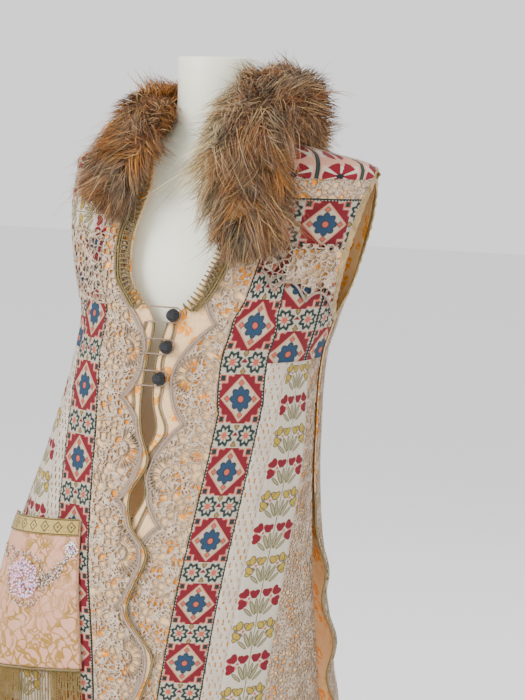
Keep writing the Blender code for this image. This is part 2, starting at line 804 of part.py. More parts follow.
def fur_piece(name, rows, side, clearance):
    """A soft roll of fur over the neckline, its surface raised into locks that point downwards."""
    sides = 16
    bases, ups = [], []
    for height, across, _, _, on_back in rows:
        points, lengths, _ = SHELL.ring(height, on_back)
        wanted = side * across
        if on_back:
            half = (points[:, 1] > 0) & (np.abs(points[:, 0]) < 0.2)
            order = np.argsort(points[half, 0])
            along = float(np.interp(wanted, points[half, 0][order], lengths[half][order]))
        else:
            half = points[:, 1] < 0
            along = float(np.interp(wanted, points[half, 0], lengths[half]))
        bases.append(SHELL.at(along, height, on_back))
        ups.append(SHELL.normal(along, height, on_back))
    rings = []
    for i, (_, _, half_width, half_thick, _) in enumerate(rows):
        forward = bases[min(i + 1, len(rows) - 1)] - bases[max(i - 1, 0)]
        up = ups[i] - forward * np.dot(ups[i], forward) / np.dot(forward, forward)
        up /= np.linalg.norm(up)
        forward /= np.linalg.norm(forward)
        across = np.cross(forward, up)
        clear = clearance + SHOULDER_CLEARANCE * eased(rows[i][0], 1.32, 1.352)
        centre = bases[i] + up * (half_thick + clear)
        ring = []
        for k in range(sides):
            angle = 2 * math.pi * (k + 0.5) / sides
            raised = (i + k) % 2 == 0 and 0 < i < len(rows) - 1 and math.sin(angle) > -0.3
            swell = 1.10 if raised else 0.94
            spot = centre + swell * (
                across * half_width * math.cos(angle) + up * half_thick * math.sin(angle)
            )
            ring.append(spot - forward * (0.006 if raised else 0.0))
        rings.append(ring)
    finish(name, bridged(bmesh.new(), rings), "fur")


BUTTON_HEIGHTS = (1.143, 1.101, 1.059)
BUTTON_ALONG = 0.0035
LOOP_CORD = 0.0011
LOOP_REACH = 0.036
LOOP_BEND = 0.0099


def button_and_loop(index, height, left):
    """A knotted ball button on the left front, and the cord loop from the right front round it."""
    spot = left.facet_point(BUTTON_ALONG, height, CLOTH)
    up = SHELL.normal(BUTTON_ALONG, height)
    bm = bmesh.new()
    bmesh.ops.create_uvsphere(bm, u_segments=12, v_segments=8, radius=BUTTON_RADIUS)
    bmesh.ops.translate(bm, verts=bm.verts[:], vec=tuple(spot + up * (BUTTON_RADIUS + SEAM_GAP)))
    finish(f"button_{index}", bm, "black_cord", smooth=True)
    cord, reach, bend = LOOP_CORD, LOOP_REACH, LOOP_BEND
    path, ups = [], []
    for k in range(15):
        turn = -math.pi / 2 + math.pi * (k - 4) / 6
        if k < 4:
            across, rise = BUTTON_ALONG - reach * (4 - k) / 4, -bend
        elif k > 10:
            across, rise = BUTTON_ALONG - reach * (k - 10) / 4, bend
        else:
            across, rise = BUTTON_ALONG + bend * math.cos(turn), bend * math.sin(turn)
        out = LACE_OUT + cord + 0.0004
        path.append(SHELL.at(across, height + rise) + SHELL.normal(across, height + rise) * out)
        ups.append(SHELL.normal(across, height + rise))
    finish(f"loop_{index}", tube(path, cord, 4, ups), "gold_cord")


# Pocket on the right front
POCKET_TOP = 0.866
POCKET_BOTTOM = 0.680
POCKET_WIDTH = 0.172
POCKET_DROP = 0.022
POCKET_OUT = 0.0050
POCKET_SWELL = 0.010
POCKET_DEPTH = 0.003
BRAID_TALL = 0.0205
ROSE_SHARE = 0.46
ROSE_HEIGHT = 0.789
ROSE_REACH = 0.030
ROSE_DIP = 0.026
ROSE_LOBES = 16
ROSE_IN = 0.0014
ROSE_OUT = 0.0048
FRINGE_LENGTH = 0.086
FRINGE_STRANDS = 33
FRINGE_STRIP = 0.0074
FRINGE_LIP = 0.0012


def pocket_along(share, height):
    """From the pocket's inner edge, 0, to its outer edge, 1."""
    inner = -0.064 + (POCKET_TOP - height) * 0.25
    return inner - POCKET_WIDTH * share


def pocket_swell(share, height):
    across = max(math.sin(math.pi * min(max(share, 0), 1)), 0.0) ** 0.6
    down = (height - POCKET_BOTTOM) / (POCKET_TOP - POCKET_BOTTOM)
    return POCKET_SWELL * across * (0.35 + 0.65 * math.sin(math.pi * min(max(down, 0), 1)) ** 0.6)


def pocket(panel):
    """A swelling bag on the front, with a woven braid on top and a beaded rose on its face."""
    columns, rows = 7, 6

    def place(share, height, out):
        """The pocket hangs lower towards its outer edge."""
        dropped = height - POCKET_DROP * share
        return panel.place(pocket_along(share, height), dropped, POCKET_OUT + out)

    def sheet(across, down, inner, outer, low, high):
        bm = bmesh.new()
        grid = [
            [bm.verts.new((i / across, low + (high - low) * j / down, 0)) for i in range(across + 1)]
            for j in range(down + 1)
        ]
        for j in range(down):
            for i in range(across):
                near, far = grid[j][i], grid[j + 1][i + 1]
                bm.faces.new([near, grid[j][i + 1], far])
                bm.faces.new([near, far, grid[j + 1][i]])
        return thickened(bm, lambda u, v, out: place(u, v, out(u, v)), inner, outer)

    def face(extra):
        return lambda u, v: POCKET_DEPTH + pocket_swell(u, v) + extra

    def on_bag(share, height, out):
        """A point on the bag's own facets."""
        x = min(max(share * columns, 0), columns - 1e-6)
        y = (height - POCKET_BOTTOM) / (POCKET_TOP - POCKET_BOTTOM) * rows
        y = min(max(y, 0), rows - 1e-6)
        i, j = int(x), int(y)
        corners = []
        for v in (j, j + 1):
            height = POCKET_BOTTOM + (POCKET_TOP - POCKET_BOTTOM) * v / rows
            for u in (i / columns, (i + 1) / columns):
                corners.append(place(u, height, out + face(0.0)(u, height)))
        return on_halves(corners, x - i, y - j)

    bag = sheet(columns, rows, lambda u, v: 0.0, face(0.0), POCKET_BOTTOM, POCKET_TOP)
    finish("pocket_bag", bag, "brocade")
    low = POCKET_TOP - BRAID_TALL
    braid = sheet(columns, 1, face(0.0005), face(0.0018), low, POCKET_TOP + 0.001)
    finish("pocket_braid", braid, "gold_cord")
    outline = []
    for k in range(ROSE_LOBES):
        turn = 2 * math.pi * (k + 0.5) / ROSE_LOBES
        reach = ROSE_REACH if k % 2 else ROSE_DIP
        share = ROSE_SHARE + reach * math.cos(turn) / POCKET_WIDTH
        outline.append((share, ROSE_HEIGHT + reach * math.sin(turn)))
    folds = [
        (i / columns / 2, POCKET_BOTTOM + (POCKET_TOP - POCKET_BOTTOM) * j / rows / 4)
        for i in range(2 * columns + 1)
        for j in range(4 * rows + 1)
    ]
    rose = thickened(cut_pattern(outline, [], folds), on_bag, ROSE_IN, ROSE_OUT)
    finish("pocket_applique", rose, "pearl")
    fringe(place)


def fringe(place):
    """Bullion strands that hang from a narrow strip at the pocket's lower edge."""
    stations = 2 * FRINGE_STRANDS + 1
    top = POCKET_BOTTOM - 2 * SEAM_GAP
    low = top - FRINGE_STRIP
    rings = []
    for k in range(stations + 1):
        share = 0.004 + 0.992 * k / stations
        rings.append(
            [
                place(share, top, 0.0),
                place(share, low, 0.0),
                place(share, low, POCKET_DEPTH + FRINGE_LIP),
                place(share, top, POCKET_DEPTH),
            ]
        )
    bm = bridged(bmesh.new(), rings)
    bm.faces.ensure_lookup_table()
    hanging = [bm.faces[4 * (2 * k + 1) + 1] for k in range(FRINGE_STRANDS)]
    for k, face in enumerate(hanging):
        grown = bmesh.ops.extrude_discrete_faces(bm, faces=[face])["faces"][0]
        length = FRINGE_LENGTH * (0.94 + 0.06 * math.sin(2.3 * k))
        share = 0.004 + 0.992 * (2 * k + 1.5) / stations
        here = place(share, low, 0.0015)
        there = place(share, low - length, 0.0040)
        for vert in grown.verts:
            offset = np.array(vert.co) - here
            vert.co = there + offset * 0.62
    finish("pocket_fringe", bm, "gold_cord")


def covers(panel, word):
    """The patchwork that lies on a front: band, laces, flower strip and the chest pieces."""
    first = panel.first
    pieces = (
        ("band", (first[1], first[2]), (0, ROW_BAND_LOW), "crimson"),
        ("ladder_lace", (first[2], first[3]), (0, ROW_FLOWERS), "lace"),
        ("flower_strip", (first[3], first[4]), (0, ROW_FLOWERS), "linen"),
        ("side_lace", (first[4], first[5]), (0, ROW_FLOWERS), "lace"),
        ("short_band", (first[2], first[5]), (ROW_FLOWERS, ROW_CHEST), "crimson"),
        ("chest_band", (first[1], first[5]), (ROW_BAND_LOW, ROW_BAND_HIGH), "crimson"),
        ("shoulder_lace", (first[1], first[5]), (ROW_BAND_HIGH, ROW_SHOULDER), "lace"),
        ("shoulder_band", (first[1], first[5]), (ROW_SHOULDER, ROW_TOP), "crimson"),
    )
    for name, columns, rows, colour in pieces:
        finish(f"{name}_{word}", panel.tile(columns, rows, COVER_IN, COVER_OUT), colour)


def back_covers(panel):
    first = panel.first
    pieces = (
        ("back_side_lace_left", 0, 1, "lace"),
        ("back_flowers_left", 1, 2, "linen"),
        ("back_band_left", 2, 3, "crimson"),
        ("back_lace_left", 3, 4, "lace"),
        ("back_centre", 4, 5, "linen"),
        ("back_lace_right", 5, 6, "lace"),
        ("back_band_right", 6, 7, "crimson"),
        ("back_flowers_right", 7, 8, "linen"),
        ("back_side_lace_right", 8, 9, "lace"),
    )
    for name, low, high, colour in pieces:
        columns = (first[low], first[high])
        wall = panel.tile(columns, (0, ROW_CHEST), COVER_IN, COVER_OUT)
        finish(name, wall, colour)
    across = (0, first[-1])
    yoke = panel.tile(across, (ROW_CHEST, ROW_BAND_HIGH), COVER_IN, COVER_OUT)
    finish("back_yoke", yoke, "crimson")
    shoulder = panel.tile(across, (ROW_BAND_HIGH, ROW_TOP), COVER_IN, COVER_OUT)
    finish("back_shoulder", shoulder, "lace")


def main():
    for item in list(bpy.data.objects):
        bpy.data.objects.remove(item)
    dress_form()
    stand()
    left = front_panel(1, edge_line(LEFT_EDGE), left_band)
    right = front_panel(-1, edge_line(RIGHT_EDGE), right_band)
    back = back_panel()
    for name, panel in (("front_left", left), ("front_right", right), ("back", back)):
        wall = panel.tile((0, panel.first[-1]), (0, ROW_TOP), 0.0, CLOTH)
        finish(name, wall, "lining")
    covers(left, "left")
    covers(right, "right")
    back_covers(back)
    lace_edging("lace_left", left, 1, LEFT_TIPS, 1.068, 1.20)
    lace_edging("lace_right", right, -1, RIGHT_TIPS, 1.097, 1.29)
    cape_lace("cape_lace_left", left)
    armhole_binding("armhole_binding_left", 1, left, back)
    armhole_binding("armhole_binding_right", -1, right, back)
    neck_braid("neck_braid_left", left, 1)
    neck_braid("neck_braid_right", right, -1)
    edge_cord("edge_cord_left", left, 0, 1, HEM_HEIGHT, UNDERARM_HEIGHT)
    edge_cord("edge_cord_right", right, 0, -1, HEM_HEIGHT, UNDERARM_HEIGHT)
    edge_cord("slit_cord_left", back, 0, 1, HEM_HEIGHT, SLIT_TOP)
    edge_cord("slit_cord_right", back, -1, -1, HEM_HEIGHT, SLIT_TOP)
    fur_piece("fur_left", FUR_LEFT, 1, FUR_LEFT_CLEARANCE)
    fur_piece("fur_right", FUR_RIGHT, -1, FUR_RIGHT_CLEARANCE)
    fur_piece("fur_back", FUR_BACK, 1, FUR_BACK_CLEARANCE)
    for index, height in enumerate(BUTTON_HEIGHTS, 1):
        button_and_loop(index, height, left)
    pocket(right)


main()
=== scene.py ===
"""Looks of a long patchwork vest with a fur collar on its dress form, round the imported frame.

Metres, in the frame's own axes: +Z up, the vest's front faces -Y, the wearer's left is +X.
"""

import math

import bmesh
import bpy
import numpy as np
from mathutils import Matrix, Vector


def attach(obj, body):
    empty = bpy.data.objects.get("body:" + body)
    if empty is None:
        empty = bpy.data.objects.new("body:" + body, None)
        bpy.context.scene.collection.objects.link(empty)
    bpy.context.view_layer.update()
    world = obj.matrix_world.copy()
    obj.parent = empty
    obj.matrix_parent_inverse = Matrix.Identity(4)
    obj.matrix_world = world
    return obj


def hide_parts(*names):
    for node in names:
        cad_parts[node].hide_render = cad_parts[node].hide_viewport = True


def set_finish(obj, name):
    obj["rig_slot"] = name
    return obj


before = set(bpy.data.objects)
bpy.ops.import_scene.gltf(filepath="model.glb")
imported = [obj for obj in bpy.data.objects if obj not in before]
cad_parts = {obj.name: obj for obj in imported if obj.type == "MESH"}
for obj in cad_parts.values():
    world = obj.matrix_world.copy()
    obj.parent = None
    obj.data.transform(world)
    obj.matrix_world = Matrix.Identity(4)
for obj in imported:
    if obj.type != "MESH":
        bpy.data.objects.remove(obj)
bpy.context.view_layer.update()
BODY = "root"

# Driving sizes, as the solids have them
HEM_HEIGHT = 0.42
UNDERARM_HEIGHT = 1.135
SHOULDER_TIP_HEIGHT = 1.338
COLLAR_HEIGHT = 1.376
SLIT_TOP = 0.90
CLOTH = 0.0018
COVER_IN = 0.0021
COVER_OUT = 0.0033
LACE_IN = 0.0032
LACE_OUT = 0.0048
CAPE_IN = 0.0060
LAP_LIFT = 0.0075
RING_SQUARENESS = 2.4
SCALLOP_PITCH = 0.132
SCALLOP_DEPTH = 0.031
LACE_WIDTH = 0.075
BAND_WIDTH = 0.056
LADDER_WIDTH = 0.025
FLOWER_WIDTH = 0.066
BAND_REPEAT = 0.093
FLOWER_REPEAT = 0.083

# The picture in pixels, and where the middle of the neck's top stands in it
PICTURE = (525, 700)
NECK_SPOT = (217, 57)
NECK_TOP = 1.48

# Shell rings: height, half width, depth in front, depth behind, shift right, shift back
SHELL_RINGS = (
    (0.420, 0.287, 0.235, 0.205, -0.080, -0.030),
    (0.600, 0.254, 0.208, 0.178, -0.068, -0.028),
    (0.775, 0.220, 0.180, 0.150, -0.052, -0.024),
    (0.870, 0.201, 0.164, 0.134, -0.040, -0.018),
    (0.965, 0.184, 0.150, 0.120, -0.027, -0.010),
    (1.090, 0.171, 0.138, 0.112, -0.009, -0.002),
    (1.130, 0.175, 0.136, 0.112, -0.001, 0.0),
    (1.200, 0.195, 0.126, 0.108, 0.005, 0.0),
    (1.280, 0.210, 0.108, 0.098, 0.012, 0.0),
    (1.338, 0.211, 0.080, 0.080, 0.016, 0.0),
    (1.352, 0.162, 0.072, 0.072, 0.010, 0.0),
    (1.364, 0.112, 0.063, 0.063, 0.004, 0.0),
    (1.376, 0.075, 0.057, 0.057, 0.0, 0.0),
)

# Folds: angle from the middle of the front, half width of the fold, height at the hem, top
FOLDS = (
    (26, 9, 0.008, 0.98),
    (58, 10, -0.009, 1.02),
    (-34, 10, 0.007, 0.80),
    (-62, 10, -0.009, 1.00),
    (112, 10, 0.010, 0.92),
    (138, 10, -0.009, 1.04),
    (166, 12, 0.011, 1.00),
    (-112, 10, 0.010, 0.94),
    (-141, 11, -0.008, 1.06),
    (-166, 10, -0.007, 0.88),
)
# Soft creases: angle, half width, depth, middle height, reach up and down
CREASES = (
    (70, 4, -0.0020, 1.00, 0.10),
    (46, 3, 0.0016, 1.05, 0.09),
    (80, 5, -0.0024, 1.12, 0.04),
    (-70, 4, -0.0020, 1.02, 0.10),
    (-48, 3, 0.0016, 0.98, 0.09),
    (36, 4, -0.0016, 0.62, 0.12),
    (-20, 4, 0.0018, 0.60, 0.12),
    (150, 4, -0.0020, 0.98, 0.12),
    (-150, 4, -0.0022, 1.00, 0.12),
    (178, 5, 0.0020, 0.72, 0.14),
    (124, 4, 0.0016, 0.66, 0.12),
    (-126, 4, 0.0018, 0.64, 0.12),
)

# Front edge and neckline of each front: height, distance from the middle of the front
LEFT_EDGE = (
    (0.42, -0.020), (0.766, -0.006), (0.83, 0.000), (0.87, 0.006), (0.905, 0.018), (0.95, 0.002),
    (0.99, 0.013), (1.035, -0.002), (1.085, -0.008), (1.135, -0.004), (1.16, 0.020), (1.19, 0.036),
    (1.235, 0.050), (1.30, 0.062), (1.338, 0.072), (1.352, 0.079), (1.364, 0.088), (1.376, 0.100),
)
RIGHT_EDGE = (
    (0.42, 0.118), (0.49, 0.090), (0.56, 0.104), (0.63, 0.064), (0.695, 0.074), (0.766, 0.026),
    (0.83, 0.038), (0.87, 0.006), (0.905, -0.004), (0.95, 0.010), (0.99, -0.012), (1.035, -0.022),
    (1.135, -0.028), (1.16, -0.048), (1.19, -0.070), (1.235, -0.076), (1.30, -0.066),
    (1.338, -0.073), (1.352, -0.080), (1.364, -0.089), (1.376, -0.100),
)
LEFT_TIPS = ((0.42, 0.012), (0.94, 0.012), (1.068, 0.016), (1.178, 0.034), (1.24, 0.056))
RIGHT_TIPS = (
    (0.42, 0.112), (0.56, 0.096), (0.695, 0.070), (0.83, 0.034), (0.965, 0.002), (1.097, -0.026),
    (1.219, -0.062), (1.30, -0.070),
)
# Armhole: height, angle of the front's edge, angle of the back's edge
ARMHOLE = (
    (1.135, 88.0, 92.0),
    (1.160, 80.0, 100.0),
    (1.200, 73.0, 107.0),
    (1.250, 70.0, 111.0),
    (1.300, 75.0, 106.0),
    (1.338, 89.6, 90.4),
)
# Heights of the middles of a band's diamonds
DIAMOND_HEIGHTS = (0.40, 0.475, 0.55, 0.625, 0.70, 0.775, 0.855, 0.943, 1.038, 1.135, 1.235, 1.34)


def eased(x, low, high):
    """0 at low, 1 at high, and smooth between them."""
    t = np.clip((np.asarray(x, float) - low) / (high - low), 0.0, 1.0)
    return t * t * (3 - 2 * t)


def smooth_rows(rows, at):
    """A table's columns read at heights, on curves that don't overshoot its rows."""
    table = np.array(rows, float)
    x, y = table[:, 0], table[:, 1:]
    at = np.clip(np.atleast_1d(np.asarray(at, float)), x[0], x[-1])
    slope = np.diff(y, axis=0) / np.diff(x)[:, None]
    total = slope[:-1] + slope[1:]
    same_way = slope[:-1] * slope[1:] > 0
    tangent = np.zeros_like(y)
    tangent[1:-1] = np.where(
        same_way, 2 * slope[:-1] * slope[1:] / np.where(same_way, total, 1), 0
    )
    tangent[0], tangent[-1] = slope[0], slope[-1]
    i = np.clip(np.searchsorted(x, at, side="right") - 1, 0, len(x) - 2)
    step = (x[i + 1] - x[i])[:, None]
    t = (at - x[i])[:, None] / step
    return (
        (2 * t**3 - 3 * t**2 + 1) * y[i]
        + (t**3 - 2 * t**2 + t) * step * tangent[i]
        + (3 * t**2 - 2 * t**3) * y[i + 1]
        + (t**3 - t**2) * step * tangent[i + 1]
    )


class Shell:
    """The surface that the cloth follows, measured along each ring from the middle of the front."""

    LEVELS = np.linspace(HEM_HEIGHT, COLLAR_HEIGHT, 479)
    SAMPLES = 720
    APART = 10.0

    def __init__(self, back):
        self.back = back
        start = 0 if back else -180
        self.degrees = np.linspace(start, start + 360, 2 * self.SAMPLES + 1)
        half, front, rear, right, aft = smooth_rows(SHELL_RINGS, self.LEVELS).T[:, :, None]
        angle = np.radians(self.degrees)[None]
        sine, cosine = np.sin(angle), np.cos(angle)
        power = 2 / RING_SQUARENESS
        push = self.folds()
        depth = np.where(cosine > 0, front, rear)
        x = (half + push + self.flare()) * np.sign(sine) * np.abs(sine) ** power + right
        y = -(depth + push) * np.sign(cosine) * np.abs(cosine) ** power + aft
        z = np.broadcast_to(self.LEVELS[:, None], x.shape)
        self.points = np.stack([x, y, z], 2)
        steps = np.linalg.norm(np.diff(self.points, axis=1), axis=2)
        along = np.concatenate([np.zeros((len(steps), 1)), np.cumsum(steps, 1)], 1)
        if not back:
            along -= along[:, self.SAMPLES : self.SAMPLES + 1]
        self.along = along
        self.keyed = (along + self.APART * np.arange(len(along))[:, None]).ravel()

    def folds(self):
        heights = self.LEVELS[:, None]
        total = np.zeros((len(self.LEVELS), len(self.degrees)))
        for angle, width, at_hem, top in FOLDS:
            away = (self.degrees[None] - angle + 180) % 360 - 180
            reach = eased(top - heights, 0.0, top - HEM_HEIGHT)
            total += at_hem * reach * np.exp(-((away / width) ** 2))
        for angle, width, deep, middle, reach in CREASES:
            away = (self.degrees[None] - angle + 180) % 360 - 180
            total += deep * np.exp(-((away / width) ** 2) - ((heights - middle) / reach) ** 2)
        return total

    def flare(self):
        if not self.back:
            return 0.0
        away = np.minimum(self.degrees, 360 - self.degrees)[None] - 90
        heights = self.LEVELS[:, None]
        scallop = 0.75 + 0.25 * np.cos(2 * np.pi * (heights - 0.70) / 0.105)
        out = 0.026 * eased(SLIT_TOP + 0.01 - heights, 0.0, 0.16) * scallop
        return np.where(away < -4, 0.0, out * np.exp(-np.maximum(away, 0) / 9))

    def level(self, height):
        place = (np.asarray(height, float) - HEM_HEIGHT) / (COLLAR_HEIGHT - HEM_HEIGHT)
        place = np.clip(place * (len(self.LEVELS) - 1), 0, len(self.LEVELS) - 1 - 1e-9)
        whole = place.astype(int)
        return whole, place - whole

    def column(self, row, along):
        """Where a distance falls among a ring's samples."""
        first, last = self.along[row, 0], self.along[row, -1]
        along = np.clip(along, first, last)
        count = self.along.shape[1]
        found = np.searchsorted(self.keyed, along + self.APART * row, side="right") - 1
        found = np.clip(found - row * count, 0, count - 2)
        low, high = self.along[row, found], self.along[row, found + 1]
        return found, (along - low) / (high - low)

    def spot(self, along, height):
        along, height = np.broadcast_arrays(np.asarray(along, float), np.asarray(height, float))
        row, share = self.level(height)
        total = 0.0
        for step, weight in ((0, 1 - share), (1, share)):
            found, part = self.column(row + step, along)
            low, high = self.points[row + step, found], self.points[row + step, found + 1]
            total = total + weight[..., None] * (low + (high - low) * part[..., None])
        return total

    def along_at(self, degrees, height):
        degrees, height = np.broadcast_arrays(np.asarray(degrees, float), np.asarray(height, float))
        row, share = self.level(height)
        place = (degrees - self.degrees[0]) / (self.degrees[1] - self.degrees[0])
        place = np.clip(place, 0, len(self.degrees) - 1 - 1e-6)
        column = place.astype(int)
        part = place - column
        total = 0.0
        for step, weight in ((0, 1 - share), (1, share)):
            low, high = self.along[row + step, column], self.along[row + step, column + 1]
            total = total + weight * (low + (high - low) * part)
        return total

    def normal(self, along, height, step=0.004):
        height = np.clip(height, HEM_HEIGHT + step, COLLAR_HEIGHT - step)
        across = self.spot(along + step, height) - self.spot(along - step, height)
        upward = self.spot(along, height + step) - self.spot(along, height - step)
        out = np.cross(across, upward)
        return out / np.linalg.norm(out, axis=-1, keepdims=True)


FRONT = Shell(False)
REAR = Shell(True)


def lap_lift(along, height):
    """The right front rises over the left front where they cross below the waist."""
    return LAP_LIFT * eased(0.99 - height, 0.0, 0.035) * eased(along, -0.085, -0.035)


def read_line(rows, height):
    return smooth_rows(rows, height)[:, 0].reshape(np.shape(height))


class Front:
    """One front of the vest: its lines, and the place of a point on any of its layers."""

    def __init__(self, side, edge_rows, tip_rows, tip_height, band):
        self.side = side
        self.edge_rows = edge_rows
        self.tip_rows = tip_rows
        self.tip_height = tip_height
        self.band = band

    def place(self, along, height, out):
        lift = lap_lift(along, height) if self.side < 0 else 0.0
        away = np.asarray(out + lift)[..., None]
        return FRONT.spot(along, height) + FRONT.normal(along, height) * away

    def edge(self, height):
        return read_line(self.edge_rows, height)

    def outer(self, height):
        armhole = read_line([row[:2] for row in ARMHOLE], height)
        degrees = np.where(height <= UNDERARM_HEIGHT, 88.0, armhole)
        degrees = np.where(height >= SHOULDER_TIP_HEIGHT, 89.6, degrees)
        return FRONT.along_at(self.side * degrees, height)

    def line(self, most, distance):
        """A line at a distance from the band's inner side, kept in order in narrow places."""

        def read(height):
            low, high = self.edge(height), self.outer(height)
            limit = np.abs(high - low) * most
            wanted = self.band(height) + self.side * distance
            reach = np.minimum(np.abs(wanted - low), limit)
            return low + self.side * np.maximum(reach, limit * 0.35)

        return read

    def lines(self):
        return (
            self.edge,
            self.line(0.34, 0.0),
            self.line(0.58, BAND_WIDTH),
            self.line(0.70, BAND_WIDTH + LADDER_WIDTH),
            self.line(0.88, BAND_WIDTH + LADDER_WIDTH + FLOWER_WIDTH),
            self.outer,
        )


class Back:
    """The back of the vest, measured round from its left edge."""

    SHARES = (0.0, 0.09, 0.21, 0.31, 0.39, 0.61, 0.69, 0.79, 0.91, 1.0)
    side = 1

    def place(self, along, height, out):
        away = np.asarray(out)[..., None]
        return REAR.spot(along, height) + REAR.normal(along, height) * away

    def edge_at(self, side):
        def read(height):
            armhole = read_line([(row[0], row[2]) for row in ARMHOLE], height)
            slit = 92.0 - 3.0 * eased(SLIT_TOP - height, 0.0, 0.1)
            degrees = np.where(height <= UNDERARM_HEIGHT, slit, armhole)
            degrees = np.where(height >= SHOULDER_TIP_HEIGHT, 90.4, degrees)
            return REAR.along_at(degrees if side > 0 else 360 - degrees, height)

        return read

    def lines(self):
        left, right = self.edge_at(1), self.edge_at(-1)

        def share_line(share):
            return lambda height: left(height) + (right(height) - left(height)) * share

        return tuple(share_line(share) for share in self.SHARES)


def left_band(height):
    return 0.088 + 0.028 * eased(height, 1.10, 1.20)


def right_band(height):
    return read_line(RIGHT_TIPS, height) - LACE_WIDTH


LEFT = Front(1, LEFT_EDGE, LEFT_TIPS, 1.068, left_band)
RIGHT = Front(-1, RIGHT_EDGE, RIGHT_TIPS, 1.097, right_band)
BACK = Back()


# Meshes
def bundle(name, count, around, along, finish, slot, smooth=True):
    """Many strips or tubes in one piece, cut from one grid. Its points are placed afterwards by
    set_places.
    """
    bm = bmesh.new()
    wide = count * (around + 1) - 1
    bmesh.ops.create_grid(bm, x_segments=wide, y_segments=along, size=0.5)
    bm.verts.ensure_lookup_table()
    spots = np.array([(v.co.x, v.co.y) for v in bm.verts])
    columns = np.rint((spots[:, 0] + 0.5) * wide).astype(int)
    between = []
    for face in bm.faces:
        low = min(columns[v.index] for v in face.verts)
        if low % (around + 1) == around:
            between.append(face)
    bmesh.ops.delete(bm, geom=between, context="FACES_ONLY")
    bmesh.ops.delete(bm, geom=[e for e in bm.edges if not e.link_faces], context="EDGES_FACES")
    mesh = bpy.data.meshes.new(name)
    bm.to_mesh(mesh)
    bm.free()
    piece = bpy.data.objects.new(name, mesh)
    bpy.context.scene.collection.objects.link(piece)
    co = np.zeros(len(mesh.vertices) * 3)
    mesh.vertices.foreach_get("co", co)
    co = co.reshape(-1, 3)
    columns = np.rint((co[:, 0] + 0.5) * wide).astype(int)
    which, turn = columns // (around + 1), columns % (around + 1) / around
    dress(piece, finish, slot, smooth)
    return piece, which, turn, co[:, 1] + 0.5


def dress(piece, finish, slot, smooth=True):
    """A piece's material, slot and body."""
    piece.data.materials.append(finish)
    for polygon in piece.data.polygons:
        polygon.use_smooth = smooth
    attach(piece, BODY)
    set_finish(piece, slot)


def set_places(piece, points, uv=None):
    mesh = piece.data
    mesh.vertices.foreach_set("co", np.asarray(points, float).ravel())
    if uv is not None:
        layer = mesh.uv_layers.new(name="UVMap")
        corners = np.zeros(len(mesh.loops), int)
        mesh.loops.foreach_get("vertex_index", corners)
        layer.data.foreach_set("uv", np.asarray(uv, float)[corners].ravel())
    mesh.update()


def set_tint(piece, colours):
    """Colours of a piece's points, which its material reads."""
    layer = piece.data.color_attributes.new("tint", "FLOAT_COLOR", "POINT")
    full = np.ones((len(piece.data.vertices), 4))
    full[:, :3] = colours
    layer.data.foreach_set("color", full.ravel())


def face_out(piece):
    """Welds a piece's seams and turns its faces outwards."""
    bm = bmesh.new()
    bm.from_mesh(piece.data)
    bmesh.ops.remove_doubles(bm, verts=bm.verts[:], dist=1e-6)
    rims = [e for e in bm.edges if e.is_boundary]
    if rims:
        bmesh.ops.holes_fill(bm, edges=rims, sides=0)
    bmesh.ops.recalc_face_normals(bm, faces=bm.faces[:])
    bm.to_mesh(piece.data)
    bm.free()


def sheet_mesh(name, columns, rows, finish, slot):
    piece, _, u, v = bundle(name, 1, columns, rows, finish, slot)
    return piece, u, v


def area_of(piece):
    return sum(polygon.area for polygon in piece.data.polygons)




def cloth(name, panel, left, right, low, high, out, thick, finish, slot, uv, nodes=None,
          cell=0.006, gaps=None, ruffle=None):
    """A thin sheet over a panel's shell, from one line to another and between two heights."""
    heights = np.linspace(low, high, 24)
    wide = float(np.abs(right(heights) - left(heights)).max())
    columns = max(int(math.ceil(wide / cell)), 2)
    rows = max(int(math.ceil((high - low) / cell)), 3)
    piece, u, v = sheet_mesh(name + "_cloth", columns, rows, finish, slot)
    height = low + (high - low) * v
    start, stop = left(height), right(height)
    along = start + (stop - start) * u
    away = np.full_like(along, out)
    if ruffle is not None:
        away = away + ruffle(u, v, along, height)
    points = panel.place(along, height, away)
    set_places(piece, points, np.stack(uv(u, along, height, start, stop), 1))
    turn_out(piece, panel.side)
    if gaps is not None:
        pierce(piece, height, along, gaps)
    area = area_of(piece)
    thicken(piece, thick)
    if nodes is None:
        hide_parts(name)
    return piece


def turn_out(piece, side):
    """Faces of a front that is measured to the right are turned round."""
    bm = bmesh.new()
    bm.from_mesh(piece.data)
    if side < 0:
        bmesh.ops.reverse_faces(bm, faces=bm.faces[:])
    bm.to_mesh(piece.data)
    bm.free()


def thicken(piece, thick):
    wall = piece.modifiers.new("wall", "SOLIDIFY")
    wall.thickness = thick
    wall.offset = -1.0
    wall.use_even_offset = False


def within(x, y, outline):
    """Which of the points lie inside an outline."""
    found = np.zeros(x.shape, bool)
    for (x0, y0), (x1, y1) in zip(outline, outline[1:] + outline[:1]):
        if y0 == y1:
            continue
        crosses = ((y0 > y) != (y1 > y)) & (x < (x1 - x0) * (y - y0) / (y1 - y0) + x0)
        found ^= crosses
    return found


def pierce(piece, height, along, gaps):
    """Cuts a lace's open gaps through its mesh."""
    bm = bmesh.new()
    bm.from_mesh(piece.data)
    bm.verts.ensure_lookup_table()
    faces = bm.faces[:]
    corners = np.array([[v.index for v in f.verts] for f in faces])
    x, y = along[corners].mean(1), height[corners].mean(1)
    cut = np.zeros(len(faces), bool)
    for gap in gaps:
        cut |= within(x, y, gap)
    bmesh.ops.delete(bm, geom=[f for f, gone in zip(faces, cut) if gone], context="FACES")
    bm.to_mesh(piece.data)
    bm.free()


